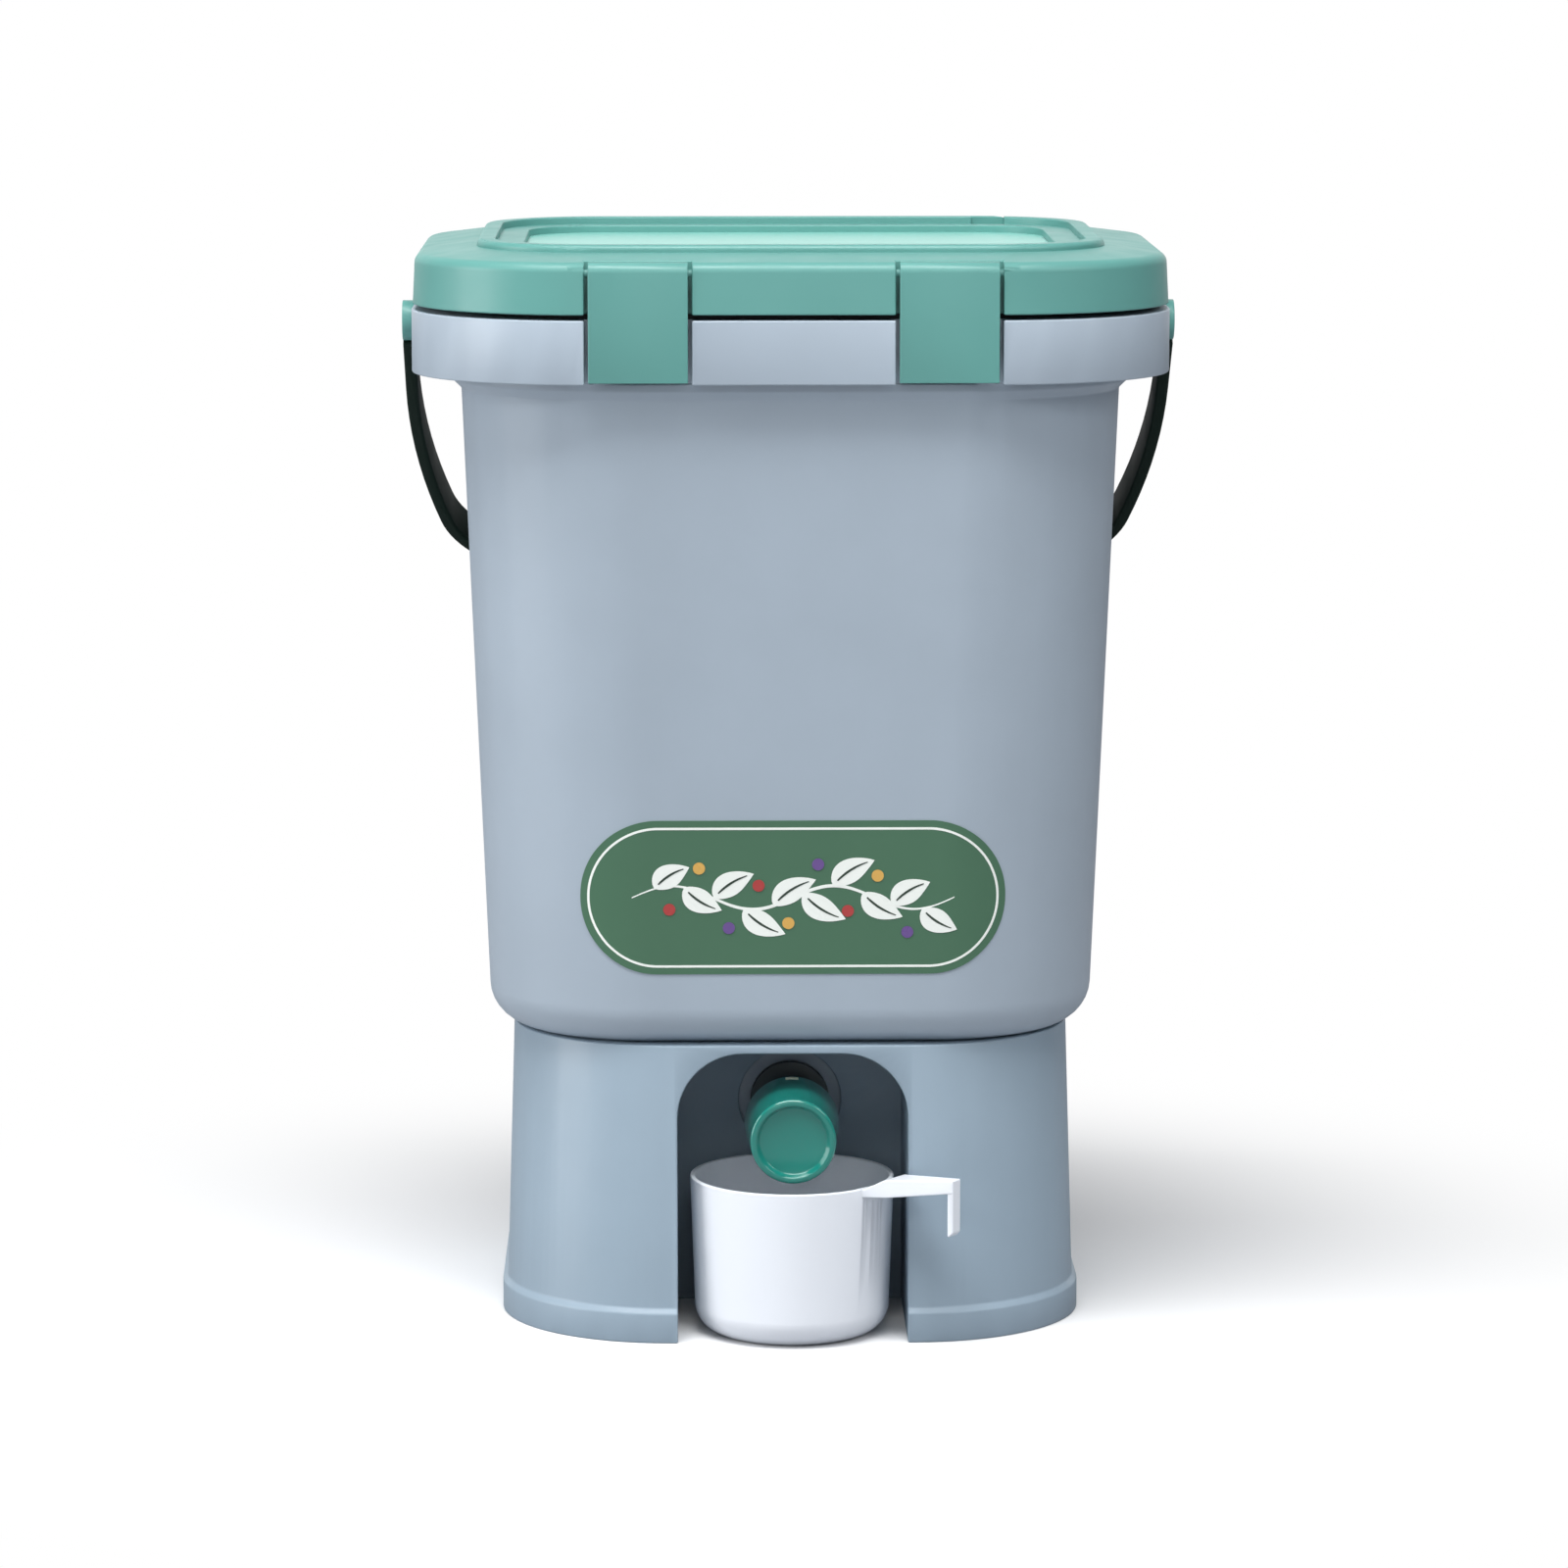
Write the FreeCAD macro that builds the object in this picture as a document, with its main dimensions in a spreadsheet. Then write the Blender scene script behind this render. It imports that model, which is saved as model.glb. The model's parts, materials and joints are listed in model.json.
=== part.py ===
import FreeCAD
import Part
import Sketcher
import math
import os

# Bokashi bin: a drafted bucket with a sump and tap, on a flared stand with an arched niche.
# Frame: X to the right, Y away from the viewer, Z up, origin on the floor under the bucket's centre.
# The driving dimensions are in millimetres; half sizes run from the centre planes.
SIZES = {
    # bucket tub: outer half sizes and corner radius at the floor and at the rim's top
    "tub_bottom_z": 115.0,
    "tub_bottom_x": 116.0,
    "tub_bottom_y": 103.7,
    "tub_bottom_corner": 62.0,
    "tub_top_x": 127.2,
    "tub_top_y": 110.1,
    "tub_top_corner": 66.0,
    "tub_wall": 3.0,
    "tub_edge_round": 15.0,
    "tub_floor_bevel": 8.0,
    # rim band, its channel and the flared collar under it
    "rim_x": 144.5,
    "rim_y": 120.0,
    "rim_corner": 69.0,
    "rim_top_z": 392.0,
    "rim_height": 24.0,
    "rim_skirt": 3.0,
    "collar_overhang": 1.9,
    "collar_lip": 3.4,
    "collar_drop": 7.0,
    # sump under the tub's floor
    "sump_x": 66.0,
    "sump_front": 28.0,
    "sump_back": 85.0,
    "sump_depth": 57.0,
    "sump_corner": 12.0,
    "sump_wall": 3.0,
    # stand
    "stand_foot_x": 110.9,
    "stand_foot_y": 102.9,
    "stand_foot_corner": 64.0,
    "stand_top_x": 107.4,
    "stand_top_y": 100.5,
    "stand_top_corner": 62.0,
    "stand_wall": 3.0,
    "stand_flange": 3.2,
    "foot_band_height": 13.5,
    "foot_band_proud": 1.6,
    # niche for the cup
    "niche_x": 44.0,
    "niche_corner": 25.0,
    "niche_wall": 2.5,
    "niche_back_gap": 0.5,
    "niche_tap_hole": 20.0,
    # screws that hold the stand, and their bosses in the tub
    "screw_x": 84.0,
    "screw_y": 55.0,
    "screw_shank": 1.95,
    "screw_head": 3.8,
    "screw_head_height": 2.6,
    "boss_radius": 5.0,
    "boss_height": 7.0,
    "boss_cap": 1.5,
    "pin_play": 0.05,
    # strainer plate
    "strainer_thick": 3.0,
    "strainer_play": 1.0,
    "strainer_hole": 2.5,
    "strainer_pitch": 15.0,
    "strainer_margin": 20.0,
    "grip_length": 60.0,
    "grip_width": 8.0,
    "grip_height": 22.0,
    "grip_bar": 6.0,
    # lid
    "lid_x": 144.0,
    "lid_y": 119.8,
    "lid_corner": 68.5,
    "lid_seam": 2.0,
    "lid_height": 19.5,
    "lid_draft": 0.8,
    "lid_wall": 3.0,
    "lid_plate": 3.5,
    "lid_edge_round": 4.0,
    "crown_rise": 2.2,
    "crown_inset": 21.0,
    "frame_x": 119.5,
    "frame_y": 95.0,
    "frame_corner": 46.0,
    "frame_rise": 5.0,
    "frame_bead": 7.0,
    "frame_ledge": 10.5,
    "frame_step": 2.8,
    "frame_edge_round": 2.0,
    "finger_notch_x": 82.0,
    "finger_notch_width": 13.0,
    "finger_notch_height": 3.4,
    "land_inside": 4.2,
    "land_outside": 5.0,
    "land_lift": 1.0,
    "plug_play": 1.2,
    "plug_depth": 8.0,
    "gasket_inset": 0.5,
    "gasket_width": 3.2,
    "gasket_hold": 2.0,
    "gasket_play": 0.1,
    # latches
    "latch_x": 57.8,
    "latch_width": 37.0,
    "latch_side_gap": 1.5,
    "latch_proud": 0.7,
    "latch_thick": 3.2,
    "latch_foot_gap": 0.8,
    "latch_knuckle": 4.1,
    "latch_notch_gap": 0.3,
    "latch_pin": 1.5,
    "latch_cheek": 6.0,
    "rim_cheek": 4.0,
    "catch_rib": 3.0,
    "catch_height": 2.7,
    "catch_above_rim_foot": 10.3,
    "catch_width": 28.0,
    "hook_overlap": 1.5,
    "hook_play": 1.3,
    "hook_height": 2.5,
    "hook_slope": 3.5,
    # bail handle
    "pivot_below_rim_top": 8.5,
    "handle_side_gap": 0.9,
    "handle_thick": 4.8,
    "handle_width": 15.0,
    "handle_reach": 156.0,
    "handle_straight": 35.0,
    "handle_bow": 360.0,
    "handle_bend": 45.0,
    "handle_rest_angle": 47.5,
    "handle_end_radius": 7.8,
    "handle_end_flat": 6.0,
    "handle_pin": 5.0,
    "handle_pin_length": 12.0,
    "handle_pin_end_gap": 1.0,
    "pivot_block": 13.0,
    "tongue_length": 4.0,
    "tongue_width": 7.0,
    "tongue_thick": 2.0,
    # tap, along Y towards the viewer
    "tap_z": 80.0,
    "tap_flange": 15.5,
    "tap_flange_thick": 3.5,
    "tap_barrel": 9.0,
    "tap_barrel_front": 84.0,
    "tap_seat": 42.0,
    "tap_bore": 3.5,
    "tap_shank": 6.5,
    "tap_shank_length": 22.0,
    "tap_spout_y": 58.0,
    "tap_spout": 5.5,
    "tap_spout_bore": 3.4,
    "tap_spout_drop": 16.0,
    "plug_radius": 6.0,
    "plug_end_gap": 0.3,
    "plug_shoulder": 1.0,
    "plug_port": 3.2,
    "plug_stem": 4.0,
    "plug_stem_length": 19.9,
    "ring_groove_back": 65.0,
    "ring_groove_width": 2.0,
    "ring_section": 0.6,
    "knob_back": 76.0,
    "knob_length": 36.0,
    "knob_back_radius": 18.4,
    "knob_front_radius": 16.3,
    "knob_wall": 2.8,
    "knob_dish": 14.0,
    "knob_dish_depth": 2.0,
    "knob_dish_slope": 1.0,
    "knob_face": 3.0,
    "knob_hub": 6.8,
    "knob_hub_length": 19.0,
    "outer_washer_thick": 2.0,
    "outer_washer": 15.0,
    "inner_washer_thick": 1.5,
    "inner_washer": 12.0,
    "washer_play": 0.2,
    "nut_across_flats": 20.0,
    "nut_thick": 7.0,
    # cup
    "cup_y": 80.0,
    "cup_height": 61.0,
    "cup_rim": 39.2,
    "cup_foot": 37.0,
    "cup_wall": 2.0,
    "cup_floor": 2.2,
    "cup_edge_round": 11.0,
    "cup_turn": 36.0,
    "strip_reach": 76.0,
    "strip_root_width": 16.0,
    "strip_end_width": 5.5,
    "strip_root_thick": 3.0,
    "strip_end_thick": 5.0,
    "strip_below_rim": 0.3,
    "strip_rise": 7.3,
    "shoulder_reach": 48.0,
    "shoulder_rise": 4.8,
    "shoulder_thick": 7.0,
    "hook_drop": 22.0,
    "hook_thick": 2.6,
    "hook_chamfer": 1.6,
    # label
    "label_z": 173.0,
    "label_length": 161.0,
    "label_height": 59.0,
    "label_thick": 0.4,
    "label_end_flat": 0.8,
}

doc = FreeCAD.newDocument("bokashi_bin")
sheet = doc.addObject("Spreadsheet::Sheet", "Sizes")
for row, (alias, number) in enumerate(SIZES.items(), start=1):
    sheet.set(f"A{row}", alias)
    sheet.set(f"B{row}", str(number))
    sheet.setAlias(f"B{row}", alias)
doc.recompute()


class Dim:
    """A size with its present value and the sheet formula that drives it."""

    def __init__(self, value, formula):
        self.value = float(value)
        self.formula = formula

    def __add__(self, other):
        return joined(self, "+", other, self.value + as_dim(other).value)

    def __radd__(self, other):
        return as_dim(other) + self

    def __sub__(self, other):
        return joined(self, "-", other, self.value - as_dim(other).value)

    def __rsub__(self, other):
        return as_dim(other) - self

    def __mul__(self, other):
        return joined(self, "*", other, self.value * as_dim(other).value)

    def __rmul__(self, other):
        return as_dim(other) * self

    def __truediv__(self, other):
        return joined(self, "/", other, self.value / as_dim(other).value)

    def __neg__(self):
        return as_dim(0) - self


def as_dim(thing):
    """A plain number as a Dim; a Dim unchanged."""
    return thing if isinstance(thing, Dim) else Dim(thing, repr(float(thing)))


def joined(left, sign, right, value):
    """The Dim of two joined formulas."""
    return Dim(value, f"({left.formula} {sign} {as_dim(right).formula})")


class Sizes:
    """Reads a cell of the sheet by its alias as a Dim."""

    def __getattr__(self, alias):
        return Dim(sheet.get(alias), f"Sizes.{alias}")


size = Sizes()
nodes = []


def bind(thing, property_name, dim):
    """Ties a property to its sheet formula."""
    thing.setExpression(property_name, as_dim(dim).formula)


def new_body(label):
    """An empty body whose label is a node's name."""
    body = doc.addObject("PartDesign::Body", label)
    body.Label = label
    nodes.append(body)
    return body


def new_sketch(body, role, offset=0):
    """A sketch on one of the body's origin planes, moved along the plane's normal."""
    sketch = body.newObject("Sketcher::SketchObject", f"{body.Name}_sketch")
    plane = [part for part in body.Origin.OriginFeatures if part.Role == role][0]
    sketch.AttachmentSupport = [(plane, "")]
    sketch.MapMode = "FlatFace"
    bind(sketch, "AttachmentOffset.Base.z", offset)
    return sketch


def datum(sketch, kind, refs, dim):
    """A dimension of a sketch, tied to its formula."""
    name = f"size{sketch.ConstraintCount}"
    index = sketch.addConstraint(Sketcher.Constraint(kind, *refs, as_dim(dim).value))
    sketch.renameConstraint(index, name)
    bind(sketch, f"Constraints.{name}", dim)


def place_point(sketch, edge, end, point):
    """Ties one end of an edge to a place in the sketch."""
    datum(sketch, "DistanceX", (-1, 1, edge, end), point[0])
    datum(sketch, "DistanceY", (-1, 1, edge, end), point[1])


def flat(point):
    """A sketch point as a vector at its present value."""
    return FreeCAD.Vector(as_dim(point[0]).value, as_dim(point[1]).value, 0)


def polygon(sketch, points):
    """A closed outline of straight edges through the given points."""
    count = len(points)
    edges = []
    for index, point in enumerate(points):
        line = Part.LineSegment(flat(point), flat(points[(index + 1) % count]))
        edges.append(sketch.addGeometry(line, False))
    for index, point in enumerate(points):
        following = edges[(index + 1) % count]
        sketch.addConstraint(Sketcher.Constraint("Coincident", edges[index], 2, following, 1))
        place_point(sketch, edges[index], 1, point)


def rectangle(sketch, left, right, low, high):
    """A closed rectangle between four sides."""
    polygon(sketch, [(left, low), (right, low), (right, high), (left, high)])


def circle(sketch, centre, radius):
    """A circle about a point."""
    ring = Part.Circle(flat(centre), FreeCAD.Vector(0, 0, 1), as_dim(radius).value)
    edge = sketch.addGeometry(ring, False)
    place_point(sketch, edge, 3, centre)
    datum(sketch, "Radius", (edge,), radius)


def rounded_outline(sketch, sides, corners):
    """A closed outline of four sides; each corner has its radius or, with None, is sharp."""
    left, right, low, high = (as_dim(side) for side in sides)
    points = [(left, low), (right, low), (right, high), (left, high)]
    inwards = [(1, 1), (-1, 1), (-1, -1), (1, -1)]
    quarter = math.pi / 2
    ends = []
    arcs = []
    for index, (point, inward, radius) in enumerate(zip(points, inwards, corners)):
        if radius is None:
            ends.append((point, point))
            arcs.append(None)
            continue
        beside = (point[0] + radius * inward[0], point[1])
        above = (point[0], point[1] + radius * inward[1])
        centre = (beside[0], above[1])
        whole = Part.Circle(flat(centre), FreeCAD.Vector(0, 0, 1), as_dim(radius).value)
        start = quarter * (2 + index)
        arc = sketch.addGeometry(Part.ArcOfCircle(whole, start, start + quarter), False)
        place_point(sketch, arc, 3, centre)
        datum(sketch, "Radius", (arc,), radius)
        ends.append((above, beside) if index % 2 == 0 else (beside, above))
        arcs.append(arc)
    lines = []
    for index in range(4):
        line = Part.LineSegment(flat(ends[index][1]), flat(ends[(index + 1) % 4][0]))
        lines.append(sketch.addGeometry(line, False))
    for index, arc in enumerate(arcs):
        before = lines[index - 1]
        after = lines[index]
        if arc is None:
            place_point(sketch, after, 1, points[index])
            sketch.addConstraint(Sketcher.Constraint("Coincident", before, 2, after, 1))
        else:
            sketch.addConstraint(Sketcher.Constraint("Tangent", before, 2, arc, 1))
            sketch.addConstraint(Sketcher.Constraint("Tangent", after, 1, arc, 2))


def rounded_rectangle(sketch, half_x, half_y, corner, centre_y=0):
    """A rectangle about the YZ plane with four rounded corners."""
    sides = (-as_dim(half_x), half_x, centre_y - as_dim(half_y), centre_y + as_dim(half_y))
    rounded_outline(sketch, sides, [corner] * 4)


def feature(body, kind, profile, length, reverse=False):
    """A pad or pocket of a sketch, which becomes the body's tip."""
    step = body.newObject(f"PartDesign::{kind}", f"{body.Name}_{kind.lower()}")
    step.Profile = profile
    step.Reversed = reverse
    bind(step, "Length", length)
    body.Tip = step
    return step


def pad(body, profile, length):
    """Adds material from the sketch along its normal."""
    return feature(body, "Pad", profile, length)


def cut(body, profile, length):
    """Takes material away from the sketch along its normal."""
    return feature(body, "Pocket", profile, length, reverse=True)


def loft(body, kind, profiles):
    """A straight loft between two sketches, added or taken away."""
    step = body.newObject(f"PartDesign::{kind}Loft", f"{body.Name}_loft")
    step.Profile = profiles[0]
    step.Sections = profiles[1:]
    step.Ruled = True
    body.Tip = step
    return step


def revolve(body, profile, axis):
    """A full turn of the sketch about one of its own axes."""
    step = body.newObject("PartDesign::Revolution", f"{body.Name}_turned")
    step.Profile = profile
    step.ReferenceAxis = (profile, [axis])
    step.Angle = 360
    body.Tip = step
    return step


def round_edges(body, radius, chosen):
    """Rounds the tip's edges that a test picks."""
    doc.recompute()
    base = body.Tip
    names = [f"Edge{index}" for index, edge in enumerate(base.Shape.Edges, start=1) if chosen(edge)]
    step = body.newObject("PartDesign::Fillet", f"{body.Name}_round")
    step.Base = (base, names)
    bind(step, "Radius", radius)
    body.Tip = step
    return step


def level_at(height):
    """A test for the edges that lie level at a height."""
    tolerance = 0.01
    place = as_dim(height).value

    def chosen(edge):
        box = edge.BoundBox
        return abs(box.ZMin - place) < tolerance and abs(box.ZMax - place) < tolerance

    return chosen


def mirrored_pairs(spots):
    """Each spot and its mirror images in X and Y."""
    return [(x * side, y * end) for x, y in spots for side in (1, -1) for end in (1, -1)]


# Shared places
rim_bottom_z = size.rim_top_z - size.rim_height
tub_height = size.rim_top_z - size.tub_bottom_z
mouth_x = size.tub_top_x - size.tub_wall
mouth_y = size.tub_top_y - size.tub_wall
mouth_corner = size.tub_top_corner - size.tub_wall
collar_x = size.tub_top_x + size.collar_overhang
collar_y = size.tub_top_y + size.collar_overhang
collar_corner = size.tub_top_corner + size.collar_overhang
lid_bottom_z = size.rim_top_z + size.lid_seam
lid_top_z = lid_bottom_z + size.lid_height
latch_slot = size.latch_width / 2 + size.latch_side_gap
knuckle_y = size.rim_y + size.latch_proud - size.latch_knuckle
knuckle_z = lid_top_z - size.latch_knuckle
notch_back_y = knuckle_y - size.latch_knuckle - size.latch_notch_gap
catch_z = rim_bottom_z + size.catch_above_rim_foot
catch_y = collar_y + size.catch_rib
pivot_z = size.rim_top_z - size.pivot_below_rim_top
tub_floor_z = size.tub_bottom_z + size.tub_wall
boss_top_z = tub_floor_z + size.boss_height

# How far cuts start outside the material, and how far added material sinks into what it joins
past = 5.0
lap = 0.5


def edge_stations(edge_z, radius, inward):
    """Heights and outward growths along a rounded level edge, from the flat face to the side."""
    steps = 8
    stations = []
    for step in range(steps + 1):
        angle = math.pi / 2 * step / steps
        height = edge_z + radius * (inward * (1 - math.cos(angle)))
        growth = -radius * (1 - math.sin(angle))
        stations.append((height, growth))
    return stations


def tub_section(height, grow=0):
    """The tub's outer half sizes and corner at a height, grown outwards."""
    share = (height - size.tub_bottom_z) / tub_height
    half_x = size.tub_bottom_x + (size.tub_top_x - size.tub_bottom_x) * share + grow
    half_y = size.tub_bottom_y + (size.tub_top_y - size.tub_bottom_y) * share + grow
    corner = size.tub_bottom_corner + (size.tub_top_corner - size.tub_bottom_corner) * share + grow
    return half_x, half_y, corner


def tub_loft(body, kind, stations):
    """A stretch of the tub's drafted shape through heights, each with how far it is grown outwards."""
    profiles = []
    for height, grow in stations:
        sketch = new_sketch(body, "XY_Plane", height)
        rounded_rectangle(sketch, *tub_section(height, grow))
        profiles.append(sketch)
    return loft(body, kind, profiles)


def ring_sketch(body, height, outer, inner):
    """A sketch of the band between two rounded rectangles, each half x, half y and corner."""
    sketch = new_sketch(body, "XY_Plane", height)
    rounded_rectangle(sketch, *outer)
    rounded_rectangle(sketch, *inner)
    return sketch


def mouth_offset(grow):
    """The bucket mouth's outline, grown outwards."""
    return mouth_x + grow, mouth_y + grow, mouth_corner + grow


def latch_rectangles(sketch, half_width, near, far):
    """Four rectangles at the latches, from a near to a far distance off the XZ plane."""
    for side in (1, -1):
        for end in (1, -1):
            low, high = (near, far) if end == 1 else (-far, -near)
            middle = size.latch_x * side
            rectangle(sketch, middle - half_width, middle + half_width, low, high)


def make_bucket():
    """Tub, flared collar, hollow rim band with latch recesses, the sump's mouth and screw bosses."""
    body = new_body("bucket")
    rounded_foot = edge_stations(size.tub_bottom_z, size.tub_edge_round, 1)
    tub_loft(body, "Additive", rounded_foot + [(size.rim_top_z, 0)])
    flare_z = rim_bottom_z - size.collar_drop
    lip = size.collar_lip
    tub_loft(body, "Additive", [(flare_z, -lap), (flare_z + lip + lap, lip), (rim_bottom_z, lip)])
    bevel = size.tub_floor_bevel
    hollow = [(tub_floor_z, -size.tub_wall - bevel), (tub_floor_z + bevel, -size.tub_wall),
              (size.rim_top_z, -size.tub_wall)]
    tub_loft(body, "Subtractive", hollow)

    mid_wall = mouth_offset(size.tub_wall / 2)
    collar_ring = (collar_x, collar_y, collar_corner)
    collar = ring_sketch(body, rim_bottom_z - lap, collar_ring, mid_wall)
    pad(body, collar, size.rim_height + lap)
    band = ring_sketch(body, rim_bottom_z, (size.rim_x, size.rim_y, size.rim_corner), mid_wall)
    pad(body, band, size.rim_height)
    skirt = size.rim_skirt
    inside = (size.rim_x - skirt, size.rim_y - skirt, size.rim_corner - skirt)
    channel = ring_sketch(body, rim_bottom_z, inside, collar_ring)
    cut(body, channel, size.rim_height - skirt)

    # blocks that close the channel at the latches and the bail's pivots
    blocks = new_sketch(body, "XY_Plane", rim_bottom_z)
    seat = size.collar_overhang + size.tub_wall / 2
    latch_rectangles(blocks, latch_slot + size.rim_cheek, collar_y - seat, size.rim_y - skirt / 2)
    for side in (1, -1):
        near, far = collar_x - seat, size.rim_x - skirt / 2
        left, right = (near, far) if side == 1 else (-far, -near)
        rectangle(blocks, left, right, -size.pivot_block, size.pivot_block)
    pad(body, blocks, size.rim_height)

    cut(body, sump_sketch(body, size.tub_bottom_z - past, -size.pin_play), size.tub_wall + 2 * past)

    notches = new_sketch(body, "XY_Plane", rim_bottom_z)
    latch_rectangles(notches, latch_slot, collar_y, size.rim_y + past)
    cut(body, notches, size.rim_height + past)
    ribs = new_sketch(body, "XY_Plane", catch_z)
    latch_rectangles(ribs, size.catch_width / 2, collar_y - size.tub_wall / 2, catch_y)
    pad(body, ribs, size.catch_height)

    bore_depth = size.handle_pin_length - size.handle_side_gap + size.handle_pin_end_gap
    for offset in (size.rim_x - bore_depth, -size.rim_x - past):
        bore = new_sketch(body, "YZ_Plane", offset)
        circle(bore, (0, pivot_z), size.handle_pin + size.pin_play)
        cut(body, bore, bore_depth + past)

    bosses = new_sketch(body, "XY_Plane", tub_floor_z - size.tub_wall / 2)
    for spot in mirrored_pairs([(size.screw_x, size.screw_y)]):
        circle(bosses, spot, size.boss_radius)
    pad(body, bosses, size.boss_height + size.tub_wall / 2)
    holes = new_sketch(body, "XY_Plane", size.tub_bottom_z - past)
    for spot in mirrored_pairs([(size.screw_x, size.screw_y)]):
        circle(holes, spot, size.screw_shank + size.pin_play)
    cut(body, holes, boss_top_z - size.boss_cap - size.tub_bottom_z + past)


def sump_sketch(body, height, inset):
    """The sump's outline at a height, drawn in by an inset or, below zero, grown."""
    middle_y = (size.sump_back - size.sump_front) / 2
    half_y = (size.sump_back + size.sump_front) / 2
    sketch = new_sketch(body, "XY_Plane", height)
    rounded_rectangle(sketch, size.sump_x - inset, half_y - inset, size.sump_corner - inset, middle_y)
    return sketch


def make_sump_well():
    """Open-topped box, welded flush into the tub's floor, with the tap's hole in its front wall."""
    body = new_body("sump_well")
    wall = size.sump_wall
    foot_z = size.tub_bottom_z - size.sump_depth
    pad(body, sump_sketch(body, foot_z, 0), tub_floor_z - foot_z)
    cut(body, sump_sketch(body, foot_z + wall, wall), tub_floor_z - foot_z)
    tap_hole = new_sketch(body, "XZ_Plane", size.sump_front - wall - past)
    circle(tap_hole, (0, size.tap_z), size.tap_shank + size.washer_play)
    cut(body, tap_hole, wall + 2 * past)


def make_base_stand():
    """Flared skirt with a top flange, an arched niche with its own walls, and a foot band."""
    body = new_body("base_stand")
    flange_z = size.tub_bottom_z - size.stand_flange
    wall = size.stand_wall
    outer = []
    inner = []
    foot = (size.stand_foot_x, size.stand_foot_y, size.stand_foot_corner)
    top = (size.stand_top_x, size.stand_top_y, size.stand_top_corner)
    for height, section in ((0, foot), (size.tub_bottom_z, top)):
        sketch = new_sketch(body, "XY_Plane", height)
        rounded_rectangle(sketch, *section)
        outer.append(sketch)
    loft(body, "Additive", outer)
    proud = size.foot_band_proud
    chamfer_z = size.foot_band_height - proud - lap
    band = []
    for height, grow in ((0, proud), (chamfer_z, proud), (size.foot_band_height, -lap)):
        sketch = new_sketch(body, "XY_Plane", height)
        rounded_rectangle(sketch, *(half + grow for half in foot))
        band.append(sketch)
    loft(body, "Additive", band)
    for height, section in ((0, foot), (flange_z, top)):
        sketch = new_sketch(body, "XY_Plane", height)
        rounded_rectangle(sketch, *(half - wall for half in section))
        inner.append(sketch)
    loft(body, "Subtractive", inner)

    # niche block, with its front edge inside the drafted front wall, then the arched tunnel
    back = size.sump_front + size.niche_back_gap
    half_block = size.niche_x + size.niche_wall
    block = new_sketch(body, "YZ_Plane", -half_block)
    polygon(block, [(-size.stand_foot_y + wall / 2, 0), (-back, 0), (-back, size.tub_bottom_z),
                    (-size.stand_top_y + wall / 2, size.tub_bottom_z)])
    pad(body, block, half_block * 2)
    arch = new_sketch(body, "XZ_Plane", back + size.niche_wall)
    sides = (-size.niche_x, size.niche_x, -past, flange_z)
    rounded_outline(arch, sides, [None, None, size.niche_corner, size.niche_corner])
    cut(body, arch, size.stand_foot_y)
    tap_hole = new_sketch(body, "XZ_Plane", back - past)
    circle(tap_hole, (0, size.tap_z), size.niche_tap_hole)
    cut(body, tap_hole, size.niche_wall + 2 * past)

    gap = size.niche_back_gap
    opening = new_sketch(body, "XY_Plane", flange_z - past)
    rectangle(opening, -size.sump_x - gap, size.sump_x + gap, -back, size.sump_back + gap)
    cut(body, opening, size.stand_flange + 2 * past)
    holes = new_sketch(body, "XY_Plane", flange_z - past)
    for spot in mirrored_pairs([(size.screw_x, size.screw_y)]):
        circle(holes, spot, size.screw_shank + 2 * size.pin_play)
    cut(body, holes, size.stand_flange + 2 * past)


def make_base_screws():
    """Four pan-head screws from under the stand's flange into the tub's bosses."""
    flange_z = size.tub_bottom_z - size.stand_flange
    screws = []
    for index, (x, y) in enumerate(mirrored_pairs([(size.screw_x, size.screw_y)])):
        head = doc.addObject("Part::Cylinder", f"screw_head_{index}")
        bind(head, "Radius", size.screw_head)
        bind(head, "Height", size.screw_head_height)
        shank = doc.addObject("Part::Cylinder", f"screw_shank_{index}")
        bind(shank, "Radius", size.screw_shank)
        bind(shank, "Height", boss_top_z - 2 * size.boss_cap - flange_z + size.screw_head_height)
        for piece in (head, shank):
            bind(piece, "Placement.Base.x", x)
            bind(piece, "Placement.Base.y", y)
            bind(piece, "Placement.Base.z", flange_z - size.screw_head_height)
        screw = doc.addObject("Part::Fuse", f"screw_{index}")
        screw.Base = head
        screw.Tool = shank
        screws.append(screw)
    group = doc.addObject("Part::Compound", "base_screws")
    group.Label = "base_screws"
    group.Links = screws
    nodes.append(group)


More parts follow.
